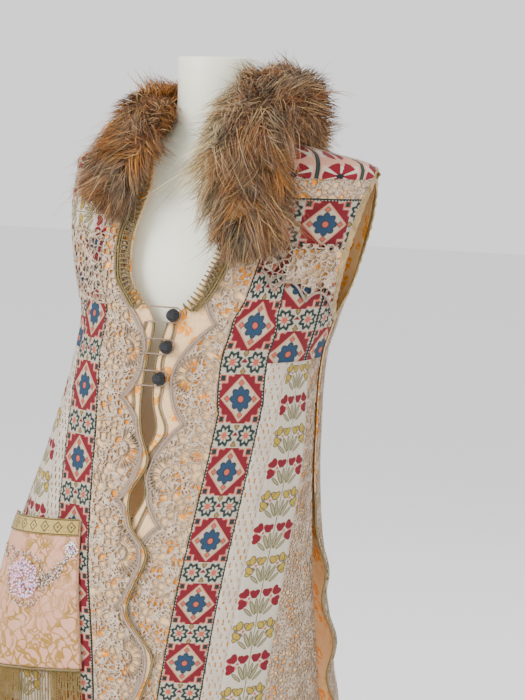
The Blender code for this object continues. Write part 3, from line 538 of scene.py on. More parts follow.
def rope(name, path, ups, radius, finish, slot, sides=8, flat=1.0, nodes=(), uv_turns=1.0):
    """A cord along a path, round or flattened, with UV along its length."""
    path, ups = np.asarray(path, float), np.asarray(ups, float)
    piece, _, turn, share = bundle(name, 1, sides, len(path) - 1, finish, slot)
    row = np.rint(share * (len(path) - 1)).astype(int)
    forward = np.gradient(path, axis=0)
    forward /= np.linalg.norm(forward, axis=1, keepdims=True)
    up = ups - forward * (ups * forward).sum(1, keepdims=True)
    up /= np.linalg.norm(up, axis=1, keepdims=True)
    side = np.cross(forward, up)
    angle = 2 * np.pi * (turn + 0.5 / sides)
    wide = np.broadcast_to(radius, (len(path),))[row][:, None]
    points = path[row] + wide * (
        side[row] * np.cos(angle)[:, None] + up[row] * flat * np.sin(angle)[:, None]
    )
    lengths = np.concatenate([[0], np.cumsum(np.linalg.norm(np.diff(path, axis=0), axis=1))])
    set_places(piece, points, np.stack([turn * uv_turns, lengths[row]], 1))
    face_out(piece)
    if nodes:
        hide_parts(*nodes)
    return piece


# Materials
def dye(code):
    """A colour written as on a dye chart, as the shader needs it."""
    parts = [int(code[k : k + 2], 16) / 255 for k in (1, 3, 5)]
    return tuple(p / 12.92 if p <= 0.04045 else ((p + 0.055) / 1.055) ** 2.4 for p in parts)


def math_sign(operation, swapped=False):
    """A method of Value that adds one Math node. A reflected sign has its values swapped."""

    def method(self, *others):
        values = (*others, self) if swapped else (self, *others)
        return self.finish.node("ShaderNodeMath", {"operation": operation}, values)

    return method


class Value:
    """A number that varies over a surface and takes the usual arithmetic signs."""

    def __init__(self, finish, socket):
        self.finish = finish
        self.socket = socket

    __add__ = __radd__ = math_sign("ADD")
    __sub__, __rsub__ = math_sign("SUBTRACT"), math_sign("SUBTRACT", swapped=True)
    __mul__ = __rmul__ = math_sign("MULTIPLY")
    __truediv__, __rtruediv__ = math_sign("DIVIDE"), math_sign("DIVIDE", swapped=True)
    __mod__, __pow__ = math_sign("FLOORED_MODULO"), math_sign("POWER")
    __lt__, __gt__ = math_sign("LESS_THAN"), math_sign("GREATER_THAN")
    __abs__, floor, root = math_sign("ABSOLUTE"), math_sign("FLOOR"), math_sign("SQRT")
    sin, cos, angle = math_sign("SINE"), math_sign("COSINE"), math_sign("ARCTAN2")
    most = math_sign("MAXIMUM")

    def __neg__(self):
        return self * -1.0

    def held(self):
        return (self + 0.0).clamped()

    def clamped(self):
        self.socket.node.use_clamp = True
        return self

    def under(self, edge, soft):
        """1 well under the edge, 0 over it, with a soft step."""
        return ((edge - self) / soft + 0.5).clamped()


class Finish:
    """A procedural material."""

    def __init__(self, name, roughness=0.85, **settings):
        self.material = bpy.data.materials.new(name)
        self.material.use_nodes = True
        self.tree = self.material.node_tree
        self.shader = self.tree.nodes["Principled BSDF"]
        self.shader.inputs["Roughness"].default_value = roughness
        for socket, value in settings.items():
            self.shader.inputs[socket.replace("_", " ")].default_value = value

    def node(self, kind, settings=None, values=(), output=0):
        made = self.tree.nodes.new(kind)
        for name, value in (settings or {}).items():
            setattr(made, name, value)
        pairs = values.items() if isinstance(values, dict) else enumerate(values)
        for key, value in pairs:
            socket = made.inputs[key]
            if isinstance(value, Value):
                self.tree.links.new(value.socket, socket)
            elif isinstance(value, tuple) and len(value) == 3 and socket.type == "RGBA":
                socket.default_value = (*value, 1.0)
            else:
                socket.default_value = value
        return Value(self, made.outputs[output])

    def uv(self):
        made = self.node("ShaderNodeTexCoord", output="UV")
        return self.parts(made)

    def object_place(self):
        return self.node("ShaderNodeTexCoord", output="Object")

    def parts(self, vector):
        made = self.node("ShaderNodeSeparateXYZ", None, (vector,))
        return made, Value(self, made.socket.node.outputs[1])

    def vector(self, x, y, z=0.0):
        return self.node("ShaderNodeCombineXYZ", None, (x, y, z))

    def mix(self, share, first, second):
        return self.node(
            "ShaderNodeMix", {"data_type": "RGBA"}, {0: share, 6: first, 7: second}, output=2
        )

    def darker(self, share, first, second):
        """The first colour multiplied by the second, by a share."""
        settings = {"data_type": "RGBA", "blend_type": "MULTIPLY"}
        return self.node("ShaderNodeMix", settings, {0: share, 6: first, 7: second}, output=2)

    def noise(self, vector, scale, detail=2.0, roughness=0.5):
        values = {"Vector": vector, "Scale": scale, "Detail": detail, "Roughness": roughness}
        return self.node("ShaderNodeTexNoise", None, values)

    def cells(self, vector, scale, feature="F1", randomness=1.0):
        values = {"Vector": vector, "Scale": scale, "Randomness": randomness}
        return self.node("ShaderNodeTexVoronoi", {"feature": feature}, values)

    def colour(self, value):
        self.tree.links.new(value.socket, self.shader.inputs["Base Color"])

    def set(self, name, value):
        self.tree.links.new(value.socket, self.shader.inputs[name])

    def bump(self, height, distance, strength=1.0):
        made = self.node(
            "ShaderNodeBump", None, {"Height": height, "Distance": distance, "Strength": strength}
        )
        self.tree.links.new(made.socket, self.shader.inputs["Normal"])

    def ring(self, x, y, radius, wide):
        """A thin line round a circle."""
        return abs((x * x + y * y).root() - radius).under(wide, wide * 0.5)

    def oval(self, x, y, turn, long, wide, soft=0.1):
        """A leaf-like oval about the origin, turned by an angle."""
        c, s = math.cos(turn), math.sin(turn)
        a = (x * c + y * s) / long
        b = (y * c - x * s) / wide
        return (a * a + b * b).root().under(1.0, soft)


STITCH = 0.0011
CREAM = dye("#d8ccb6")
PEACH = dye("#f3cb98")
ORANGE = dye("#f0920c")
CRIMSON = dye("#86021f")
TEAL = dye("#0d3432")
BLUE = dye("#1f4769")
INK = dye("#151a26")
SALMON = dye("#dd6a50")
TAN = dye("#ab8a44")
OLIVE = dye("#7b7638")
YELLOW = dye("#c2a83c")
UMBER = dye("#5f4a3a")
LACE = dye("#f7dfc4")
# Darker lace colour: used for random tone, and as painted shade in the low parts between the cords
LACE_TONE_AND_SHADE = dye("#7c5836")
LINEN = dye("#c6bcaa")


def weave(x, y, pitch=0.0009):
    """Crossed threads, as a height from 0 to 1."""
    across = (x * (2 * math.pi / pitch)).sin()
    up = (y * (2 * math.pi / pitch)).sin()
    return (across * up) * 0.25 + (across + up) * 0.12 + 0.5


def grain(finish, ground, size=900.0, amount=0.25):
    """A colour made uneven, as spun thread is."""
    spots = finish.noise(finish.object_place(), size, 3.0)
    patches = finish.noise(finish.object_place(), 28.0, 2.0)
    dark = finish.darker(min(amount * 2.2, 1.0), ground, (0.42, 0.36, 0.33))
    return finish.mix(((spots - 0.30) * 2.0 * (patches + 0.5)).held(), dark, ground)


def lining_print():
    """Peach cotton printed with clusters of small golden flowers."""
    f = Finish("lining_print", 0.85)
    x, y = f.uv()
    place = f.vector(x, y)
    warp = f.noise(place, 14.0, 2.0)
    clusters = f.cells(place, 42.0, "F1", 0.9).under(0.44, 0.06)
    petals = f.cells(place, 240.0, "F1", 0.8).under(0.62, 0.08)
    flowers = (clusters * petals).held()
    stems = f.cells(place, 34.0, "DISTANCE_TO_EDGE", 0.9).under(0.035, 0.02) * 0.35
    ground = f.mix((warp * 0.9).held(), PEACH, dye("#e8bf90"))
    ground = f.mix(stems, ground, dye("#d9b06a"))
    f.colour(grain(f, f.mix(flowers, ground, ORANGE), 700.0, 0.12))
    f.bump(weave(x, y, 0.0008), 0.00012, 0.6)
    return f.material


def diamonds(name="diamond_band", teal_edges=True):
    """Cross-stitched diamonds with a flower in each, and a strip of cogged flowers between them.

    UV is in metres: across from the band's middle, and along it with a diamond every BAND_REPEAT.
    """
    f = Finish(name, 0.9)
    u, v = f.uv()
    half = 0.035
    wrapped = (u + half) % (2 * half) - half
    sx = ((wrapped / STITCH).floor() + 0.5) * (STITCH / half)
    sv = ((v / STITCH).floor() + 0.5) * STITCH
    y = ((sv + BAND_REPEAT / 2) % BAND_REPEAT - BAND_REPEAT / 2) / half
    ax, ay = abs(sx), abs(y)
    radius = (sx * sx + y * y).root()
    turn = y.angle(sx)
    sum_ = ax + ay
    lobes = (turn * 16.0).cos() * 0.10
    block = (ax < 0.90) * (ay < 0.90)
    quarter = (sum_ + lobes).under(1.27, 0.02) * block
    colour = f.mix(quarter, CREAM, CRIMSON)
    rim = abs(sum_ + lobes - 1.29).under(0.035, 0.02) * block
    colour = f.mix(rim * 0.8, colour, SALMON)
    colour = f.mix(sum_.under(0.78, 0.02), colour, CREAM)
    colour = f.mix(abs(sum_ - 0.80).under(0.05, 0.02), colour, dye("#e9b08c"))
    round_petals = abs((turn * 4.0).cos()) * 0.11
    petal = radius.under(round_petals + 0.365, 0.04)
    colour = f.mix(petal, colour, INK)
    petal_in = radius.under(round_petals + 0.315, 0.04)
    colour = f.mix(petal_in, colour, BLUE)
    colour = f.mix(radius.under(0.15, 0.03), colour, INK)
    colour = f.mix(radius.under(0.115, 0.03), colour, SALMON)
    for dx, dy in ((0.58, 0.0), (-0.58, 0.0), (0.0, 0.58), (0.0, -0.58)):
        away = abs(sx - dx) + abs(y - dy)
        colour = f.mix(away.under(0.145, 0.02), colour, UMBER)
        colour = f.mix(away.under(0.105, 0.02), colour, SALMON)
    corner = abs(ax - 0.78).most(abs(ay - 0.74))
    colour = f.mix(corner.under(0.135, 0.02), colour, SALMON)
    colour = f.mix(corner.under(0.095, 0.02), colour, TEAL)
    ys = abs(((sv % BAND_REPEAT) - BAND_REPEAT / 2) / half)
    yss = ((sv % BAND_REPEAT) - BAND_REPEAT / 2) / half
    strip = ys < 0.42
    gx = ax - 0.50
    far = (gx * gx + yss * yss).root()
    cog = (yss.angle(gx) * 8.0).cos() * 0.055
    outline = abs(far - 0.30 + cog).under(0.075, 0.03) * strip
    colour = f.mix(outline, colour, TEAL)
    spoke = abs(far - 0.18).under(0.07, 0.02) * ((yss.angle(gx) * 8.0).cos() > 0.70) * strip
    colour = f.mix(spoke, colour, TEAL)
    colour = f.mix(far.under(0.12, 0.03) * strip, colour, SALMON)
    wedge = (ax * 1.3 + abs(ys - 0.34)).under(0.17, 0.02) * strip
    colour = f.mix(wedge, colour, TEAL)
    colour = f.mix((ax * 1.3 + abs(ys - 0.34)).under(0.12, 0.02) * strip, colour, TAN)
    tree = (ax * 1.1 + ys).under(0.15, 0.02) * (((yss * 24.0).sin() > -0.2)) * strip
    colour = f.mix(tree, colour, CRIMSON)
    if teal_edges:
        teeth = ((sv / 0.0044) % 1.0) < 0.5
        line = abs(ax - 0.975).under(0.028, 0.01)
        tooth = abs(ax - 0.93).under(0.03, 0.01) * teeth
        colour = f.mix(line.most(tooth), colour, TEAL)
    # The colour is darkened towards each stitch's edges, where the bump is low: painted shade
    # between the stitches
    stitch = (abs(((u / STITCH) % 1.0) - 0.5) + abs(((v / STITCH) % 1.0) - 0.5))
    f.colour(grain(f, f.darker((stitch * 0.7).held(), colour, (0.45, 0.40, 0.40)), 1000.0, 0.30))
    f.bump(1.0 - stitch, 0.0006, 0.9)
    return f.material


def petal_flowers():
    """Crimson long-petalled flowers on a salmon and cream ground, with a dark line at each side."""
    f = Finish("petal_band", 0.9)
    u, v = f.uv()
    size = 0.030
    x = ((u / STITCH).floor() + 0.5) * STITCH
    x = ((x + size) % (2 * size) - size) / size
    y = ((v / STITCH).floor() + 0.5) * STITCH
    y = (y % 0.052 - 0.026) / size
    radius = (x * x + y * y).root()
    turn = y.angle(x)
    reach = abs((turn * 3.0 + 0.2).cos())
    petal = (radius.under(0.78, 0.04)) * (reach > 0.42)
    colour = f.mix((abs(y) > 0.62).most(abs(x) > 0.80), CREAM, dye("#e0a68c"))
    colour = f.mix(petal, colour, CRIMSON)
    colour = f.mix(radius.under(0.17, 0.03), colour, INK)
    colour = f.mix(abs(abs(x) - 0.95).under(0.05, 0.02), colour, TEAL)
    f.colour(grain(f, colour, 1100.0, 0.3))
    stitch = abs(((u / STITCH) % 1.0) - 0.5) + abs(((v / STITCH) % 1.0) - 0.5)
    f.bump(1.0 - stitch, 0.0003, 0.7)
    return f.material


def carnations():
    """Linen with pairs of carnations on a stem, crimson and straw by turns.

    UV is in metres: across from the stem, and along it with a crimson pair every FLOWER_REPEAT.
    """
    f = Finish("carnation_linen", 0.9)
    u, v = f.uv()
    half = FLOWER_REPEAT / 2
    step = (v / half + 0.5).floor()
    red = (step % 2.0) < 0.5
    wobble = f.noise(f.object_place(), 420.0, 1.0) - 0.5
    x = abs(u) * 1000.0 + wobble * 1.4
    y = (v - step * half) * 1000.0 + wobble * 1.4
    raised = y * 0.0
    colour = f.mix(0.0, LINEN, LINEN)

    def lay(mask, thread):
        nonlocal colour, raised
        colour = f.mix(mask, colour, thread)
        raised = raised.most(mask)

    pale_olive = f.mix(0.6, OLIVE, LINEN)
    lay(x.under(0.5, 0.3), OLIVE)
    for dx, dy, turn, long, wide in (
        (3.6, -5.0, 1.45, 10.0, 2.3), (8.4, -6.5, 1.12, 10.5, 2.7), (13.5, -12.0, 0.75, 8.0, 2.2),
    ):
        lay(f.oval(x - dx, y - dy, turn, long, wide, 0.14), OLIVE)
        lay(f.oval(x - dx, y - dy, turn, long * 0.8, wide * 0.5, 0.2), pale_olive)
    bloom = f.mix(red, YELLOW, CRIMSON)
    outline = f.mix(red, UMBER, CRIMSON)
    tuft = f.mix(red, UMBER, SALMON)
    for dx, dy in ((13.6, 13.2), (24.2, 6.4), (17.2, 0.8)):
        lay(f.oval(x - dx, y - dy, 0.8, 3.0, 2.2, 0.4) * 0.75, tuft)
    for dx, dy, towards in ((8.4, 9.6, 1.57), (20.2, 10.8, 0.80), (20.8, -1.2, -0.10)):
        for lean in (-0.80, 0.80):
            turn = towards + lean
            mx = x - dx - 1.7 * math.cos(turn)
            my = y - dy - 1.7 * math.sin(turn)
            lay(f.oval(mx, my, turn, 6.4, 4.1, 0.12), outline)
            lay(f.oval(mx, my, turn, 5.4, 3.2, 0.2), bloom)
    lay(f.oval(x - 14.8, y - 5.4, 0.0, 1.7, 1.7, 0.3), SALMON)
    threads = ((u + v * 0.6) * (2 * math.pi / 0.0009)).sin() * 0.5 + 0.5
    colour = f.darker((raised * threads * 0.6).held(), colour, (0.35, 0.30, 0.30))
    f.colour(grain(f, colour, 900.0, 0.22))
    f.bump(weave(u, v, 0.0009) * 0.35 + raised * (0.7 + threads * 0.3), 0.0009, 0.9)
    return f.material


def crochet_colour(f, threads, place):
    # Random tone, then darker where the cord height is low and lighter on the cord tops: painted
    # shade between the cords
    tone = f.mix((f.noise(place, 60.0, 3.0)).held(), LACE_TONE_AND_SHADE, LACE)
    deep = f.mix(0.45, tone, LACE_TONE_AND_SHADE)
    return f.mix(threads, deep, f.mix(0.75, tone, LACE))


def net(f, x, y, size=112.0):
    """Crochet net: 1 on thread and 0 in a gap, with its height."""
    place = f.vector(x, y)
    drift = f.noise(place, 60.0, 2.0)
    place = f.vector(x + drift * 0.004, y - drift * 0.004)
    edge = f.cells(place, size, "DISTANCE_TO_EDGE", 0.85)
    fine = f.cells(place, size * 2.4, "DISTANCE_TO_EDGE", 0.85)
    dense = f.noise(f.vector(x, y), 42.0, 1.0)
    thread = ((dense - 0.5) * 0.9 + 0.13).most(0.085)
    gap = 1.0 - edge.under(thread, 0.045)
    small = (1.0 - fine.under(0.20, 0.06)) * (dense > 0.5)
    cord = (1.0 - edge / thread).held()
    loops = (1.0 - fine * 4.0).held()
    return 1.0 - gap.most(small * 0.85), (cord * 0.7 + loops * 0.4).held()


def net_lace(name="net_lace", size=112.0):
    f = Finish(name, 0.92)
    x, y = f.uv()
    threads, cord = net(f, x, y, size)
    twist = f.noise(f.object_place(), 1500.0, 2.0)
    f.colour(grain(f, crochet_colour(f, cord, f.object_place()), 1200.0, 0.35))
    f.set("Alpha", (threads * 1.3 - 0.1).clamped())
    f.bump(cord + twist * 0.4, 0.0020, 1.0)
    return f.material


def ladder_lace():
    """Close lace with rows of slots."""
    f = Finish("ladder_lace", 0.92)
    x, y = f.uv()
    shift = (f.noise(f.vector(x, y), 60.0, 1.0) - 0.5) * 0.006
    row = ((y + shift) / 0.0090) % 1.0 - 0.5
    column = ((x + shift) / 0.0082 + (((y + shift) / 0.0090).floor() % 2.0) * 0.5) % 1.0 - 0.5
    slot = (abs(row) < 0.33) * (abs(column + row * 0.2) < 0.15)
    keep = f.noise(f.vector(x, y), 90.0, 1.0) > 0.42
    gap = slot * keep
    knots = f.noise(f.object_place(), 1300.0, 3.0)
    ground = f.mix((f.noise(f.object_place(), 50.0, 2.0)).held(), dye("#c9bba9"), dye("#e6dccb"))
    f.colour(grain(f, ground, 1200.0, 0.35))
    f.set("Alpha", 1.0 - gap)
    f.bump(knots + abs(column) * 0.6, 0.0009, 0.8)
    return f.material


def edging_lace():
    """Scalloped crochet.

    UV is in metres: inwards from the line of the tips, and height from a tip.
    """
    f = Finish("edging_lace", 0.92)
    x, v = f.uv()
    y = (v + SCALLOP_PITCH / 2) % SCALLOP_PITCH - SCALLOP_PITCH / 2
    wave = abs((y * (math.pi / SCALLOP_PITCH)).cos()) ** 0.75
    edge = x - SCALLOP_DEPTH * (1.0 - wave)
    hub = x - 0.030
    radius = (hub * hub + y * y).root()
    turn = y.angle(-hub)
    spokes = abs(((turn / math.radians(32 / 3) + 1.5) % 1.0) - 0.5) * (math.radians(32 / 3))
    slot = (spokes * radius).under(0.0010, 0.0004) * abs(radius - 0.0175).under(0.0068, 0.001)
    facing = (abs(turn) < 1.62)
    slots = slot * facing
    second = (spokes * radius).under(0.0007, 0.0003) * abs(radius - 0.0275).under(0.0014, 0.0006)
    slots = slots.most(second * facing)
    threads, cord = net(f, x, v)
    inside = ((edge - 0.0085) / 0.002).clamped()
    in_fan = abs(radius - 0.0175).under(0.0085, 0.0015) * facing
    gap = ((1.0 - threads) * inside * (1.0 - in_fan)).most(slots)
    rows = (edge * (2 * math.pi / 0.0021)).sin() * 0.5 + 0.5
    rib = (turn * (math.pi * 2 / math.radians(3.2))).sin() * 0.5 + 0.5
    height = rows * (1.0 - inside) * 0.8 + cord * inside * (1.0 - in_fan) + rib * in_fan * 0.8
    twist = f.noise(f.object_place(), 1500.0, 2.0)
    f.colour(grain(f, crochet_colour(f, height.held(), f.object_place()), 1200.0, 0.35))
    f.set("Alpha", (1.0 - gap * 1.3).clamped())
    f.bump(height + twist * 0.4, 0.0019, 1.0)
    return f.material


def gold_thread(name="gold_thread", light="#c8a65a", dark="#5e4a26", turns=3.0, pitch=0.0016):
    """Twisted metallic thread. UV is round the cord and along it in metres."""
    f = Finish(name, 0.45, Metallic=0.45)
    u, v = f.uv()
    ply = ((v / pitch + u * turns) % 1.0)
    high = 1.0 - abs(ply - 0.5) * 2.0
    worn = f.noise(f.object_place(), 160.0, 3.0)
    # Colour runs from the dark colour in the grooves between plies to the light one on their
    # crowns, with some random wear: painted shade and painted highlight
    colour = f.mix((high * 0.7 + worn * 0.5 - 0.1).held(), dye(dark), dye(light))
    f.colour(grain(f, colour, 900.0, 0.3))
    f.bump(high, 0.0006, 0.8)
    return f.material


def satin():
    """Bronze satin ribbon with a soft pucker."""
    f = Finish("satin_ribbon", 0.38, Metallic=0.35)
    u, v = f.uv()
    fold = f.noise(f.vector(u * 2.0, v * 60.0), 1.0, 3.0)
    # Colour follows the pucker: darker in its hollows and lighter on its crests, as painted shade
    # and painted sheen
    colour = f.mix((fold * 1.8 - 0.4).held(), dye("#6f5230"), dye("#d3b67c"))
    ribs = (v * (2 * math.pi / 0.0007)).sin() * 0.5 + 0.5
    f.colour(grain(f, colour, 500.0, 0.2))
    f.bump(fold + ribs * 0.08, 0.0014, 0.7)
    return f.material


def brocade():
    """Pink silk with raised gold scrolls. UV is in metres over the bag."""
    f = Finish("brocade", 0.55, Metallic=0.1)
    x, y = f.uv()
    place = f.vector(x, y)
    warp = f.noise(place, 26.0, 2.0)
    bend = f.noise(f.vector(x + 4.0, y), 30.0, 2.0)
    sx, sy = x + (warp - 0.5) * 0.05, y + (bend - 0.5) * 0.05
    curls = (sx * 330.0).sin() + (sy * 290.0).sin()
    scroll = abs(curls).under(0.34, 0.16)
    leaf = f.cells(f.vector(sx, sy), 75.0, "F1", 0.9)
    leaves = abs(leaf - 0.34).under(0.09, 0.06)
    patch = (f.noise(place, 22.0, 1.0) * 5.0 - 1.7).clamped()
    gold = (scroll.most(leaves) * patch).most((1.15 - y / 0.13).held() * scroll.most(leaves))
    ribs = ((x + y * 0.15) * (2 * math.pi / 0.0013)).sin() * 0.5 + 0.5
    ground = f.mix((warp * 0.8).held(), dye("#dd9a80"), dye("#e2b294"))
    ground = f.mix(ribs * 0.25, ground, dye("#b98e74"))
    colour = f.mix(gold, ground, dye("#a67c28"))
    f.colour(grain(f, colour, 800.0, 0.2))
    f.bump(ribs * 0.3 + gold * (0.8 + ribs * 0.2), 0.0007, 0.8)
    return f.material


def woven_braid():
    """Gold braid with a row of small lozenges. UV is in metres along it and across."""
    f = Finish("woven_braid", 0.4, Metallic=0.45)
    u, v = f.uv()
    x = ((u / 0.021) % 1.0 - 0.5) * 2.0
    y = v / 0.0105
    lozenge = abs(abs(x) + abs(y) - 0.62).under(0.10, 0.04)
    dot = (abs(x) + abs(y)).under(0.2, 0.05)
    border = abs(abs(y) - 0.86).under(0.06, 0.03)
    ribs = (u * (2 * math.pi / 0.0012)).sin() * 0.5 + 0.5
    # Lighter on each rib's crest and darker between the ribs: painted highlight and painted shade
    colour = f.mix(ribs, dye("#8a6f33"), dye("#d2b866"))
    colour = f.mix(lozenge.most(dot).most(border), colour, dye("#5d4a26"))
    f.colour(grain(f, colour, 800.0, 0.25))
    f.bump(ribs * 0.5 + lozenge * 0.6 + border * 0.5, 0.0006, 0.8)
    return f.material


def black_knot():
    f = Finish("black_knot", 0.55)
    u, v = f.uv()
    ply = (((v / 0.0012) + u * 2.0) % 1.0)
    high = 1.0 - abs(ply - 0.5) * 2.0
    # Lighter on each ply's crown and darker between the plies: painted highlight and painted shade
    f.colour(f.mix(high, dye("#07080b"), dye("#1c2027")))
    f.bump(high, 0.0004, 0.8)
    return f.material


def tinted(name, roughness, **settings):
    """A finish that takes its colour from the piece's own points."""
    f = Finish(name, roughness, **settings)
    tint = f.node("ShaderNodeAttribute", {"attribute_name": "tint"})
    f.colour(tint)
    return f.material


def fur_skin():
    f = Finish("fur_skin", 0.95)
    streak = f.noise(f.object_place(), 180.0, 3.0)
    patch = f.noise(f.object_place(), 22.0, 2.0)
    colour = f.mix((streak * 1.6 - 0.4).held(), dye("#3b2618"), dye("#8a6242"))
    f.colour(f.mix((patch * 1.4 - 0.3).held(), colour, dye("#6e4526")))
    f.bump(streak, 0.004, 0.8)
    return f.material


def form_finish():
    """Smooth off-white jersey over the form, a little shiny."""
    f = Finish("form_jersey", 0.45)
    spots = f.noise(f.object_place(), 5.0, 2.0)
    knit = f.noise(f.object_place(), 900.0, 2.0)
    f.colour(f.mix((spots * 0.8).held(), dye("#e3e4cf"), dye("#eaead8")))
    f.bump(knit, 0.00008, 0.4)
    return f.material


def stand_finish():
    f = Finish("stand_enamel", 0.32)
    wear = f.noise(f.object_place(), 60.0, 4.0)
    f.colour(f.mix((wear * 0.6).held(), dye("#dcdcd6"), dye("#e9e9e4")))
    f.bump(wear, 0.0002, 0.3)
    return f.material


def seen_finish():
    """Finishes that several pieces share."""
    return {
        "lining": lining_print(),
        "band": diamonds(),
        "petals": petal_flowers(),
        "carnations": carnations(),
        "net": net_lace(),
        "close_net": net_lace("close_net", 190.0),
        "ladder": ladder_lace(),
        "edging": edging_lace(),
        "gold": gold_thread(),
        "olive_gold": gold_thread("olive_gold", "#a89462", "#5b4d2c", 2.0, 0.0022),
        "loop": gold_thread("loop_cord", "#cdb6a4", "#8a7262", 2.0, 0.0018),
        "satin": satin(),
        "brocade": brocade(),
        "braid": woven_braid(),
        "knot": black_knot(),
        "fur_hair": tinted("fur_hair", 0.6),
        "fur_skin": fur_skin(),
        "beads": tinted("beads", 0.22, Coat_Weight=0.5),
        "form": form_finish(),
        "stand": stand_finish(),
    }


FINISH = seen_finish()


# Cloth
def diamond_phase(height):
    return np.interp(height, DIAMOND_HEIGHTS, np.arange(len(DIAMOND_HEIGHTS)) * BAND_REPEAT)


def metric_uv(u, along, height, start, stop):
    return along, height


def band_uv(u, along, height, start, stop):
    return (u - 0.5) * 0.070, diamond_phase(height)


def base_cloth():
    """The printed lining cloth that the patchwork is sewn on."""
    for name, panel, first, last in (
        ("front_left", LEFT, LEFT.edge, LEFT.outer),
        ("front_right", RIGHT, RIGHT.edge, RIGHT.outer),
        ("back", BACK, BACK.lines()[0], BACK.lines()[-1]),
    ):
        cloth(name, panel, first, last, HEM_HEIGHT, COLLAR_HEIGHT - 0.001, CLOTH, CLOTH,
              FINISH["lining"], "lining", metric_uv, cell=0.010)


def between(lines, first, last):
    return lines[first], lines[last]


def front_covers(panel, word):
    """Strips and bands on one front."""
    lines = panel.lines()
    side = panel.side

    def flower_uv(u, along, height, start, stop):
        return (u - 0.5) * 0.058, (height - 0.940)

    def chest_uv(u, along, height, start, stop):
        return (height - 1.2675) * (0.070 / 0.065), along * side - 0.18

    def shoulder_uv(u, along, height, start, stop):
        return (along * side - 0.185) * 1.0, (height - 1.345) * 1.6

    def yoke_uv(u, along, height, start, stop):
        return (height - 1.2675) * 0.9, along * side + FLOWER_REPEAT / 2

    def short_uv(u, along, height, start, stop):
        return along * side - 0.165, height + 0.02

    rows = (
        ("band", 1, 2, HEM_HEIGHT, 1.235, "band", "crimson", band_uv),
        ("ladder_lace", 2, 3, HEM_HEIGHT, 1.085, "ladder", "lace", metric_uv),
        ("flower_strip", 3, 4, HEM_HEIGHT, 1.085, "carnations", "linen", flower_uv),
        ("side_lace", 4, 5, HEM_HEIGHT, 1.085, "close_net", "lace", metric_uv),
        ("short_band", 2, 5, 1.085, 1.19, "band", "crimson", short_uv),
        ("chest_band", 1, 5, 1.235, 1.30, "band", "crimson", chest_uv),
        ("shoulder_lace", 1, 5, 1.30, 1.325, "net", "lace", metric_uv),
        ("shoulder_band", 1, 5, 1.325, COLLAR_HEIGHT - 0.001, "petals", "crimson", shoulder_uv),
    )
    for name, first, last, low, high, finish, slot, uv in rows:
        start, stop = between(lines, first, last)
        if side < 0 and name == "chest_band":
            finish, slot, uv = "carnations", "crimson", yoke_uv
        cloth(f"{name}_{word}", panel, start, stop, low, high, COVER_OUT, COVER_OUT - COVER_IN,
              FINISH[finish], slot, uv, cell=0.0062)


def back_covers():
    lines = BACK.lines()

    def column_uv(u, along, height, start, stop):
        return (u - 0.5) * 0.058, height - 0.940

    def yoke_uv(u, along, height, start, stop):
        return (height - 1.245) * (0.070 / 0.11), along

    strips = (
        ("back_side_lace_left", 0, 1, "close_net", "lace", metric_uv),
        ("back_flowers_left", 1, 2, "carnations", "linen", column_uv),
        ("back_band_left", 2, 3, "band", "crimson", band_uv),
        ("back_lace_left", 3, 4, "net", "lace", metric_uv),
        ("back_centre", 4, 5, "carnations", "linen", column_uv),
        ("back_lace_right", 5, 6, "net", "lace", metric_uv),
        ("back_band_right", 6, 7, "band", "crimson", band_uv),
        ("back_flowers_right", 7, 8, "carnations", "linen", column_uv),
        ("back_side_lace_right", 8, 9, "close_net", "lace", metric_uv),
    )
    for name, first, last, finish, slot, uv in strips:
        start, stop = between(lines, first, last)
        cloth(name, BACK, start, stop, HEM_HEIGHT, 1.19, COVER_OUT, COVER_OUT - COVER_IN,
              FINISH[finish], slot, uv, cell=0.008)
    start, stop = between(lines, 0, 9)
    cloth("back_yoke", BACK, start, stop, 1.19, 1.30, COVER_OUT, COVER_OUT - COVER_IN,
          FINISH["band"], "crimson", yoke_uv, cell=0.008)
    cloth("back_shoulder", BACK, start, stop, 1.30, COLLAR_HEIGHT - 0.001, COVER_OUT,
          COVER_OUT - COVER_IN, FINISH["net"], "lace", metric_uv, cell=0.008)


def fan_gaps(x, y, towards, inner, outer, half, count, spread):
    """Slots that fan out round a scallop's middle, each a long lozenge."""
    gaps = []
    for k in range(count):
        turn = math.radians(spread * (k / (count - 1) - 0.5)) + towards
        ray = (math.cos(turn), math.sin(turn))
        waist = inner + (outer - inner) * 0.62
        gaps.append([
            (x + ray[0] * inner, y + ray[1] * inner),
            (x + ray[0] * waist - ray[1] * half, y + ray[1] * waist + ray[0] * half),
            (x + ray[0] * outer, y + ray[1] * outer),
            (x + ray[0] * waist + ray[1] * half, y + ray[1] * waist - ray[0] * half),
        ])
    return gaps


def lozenge(x, y, half_x, half_y):
    return [(x - half_x, y), (x, y - half_y), (x + half_x, y), (x, y + half_y)]


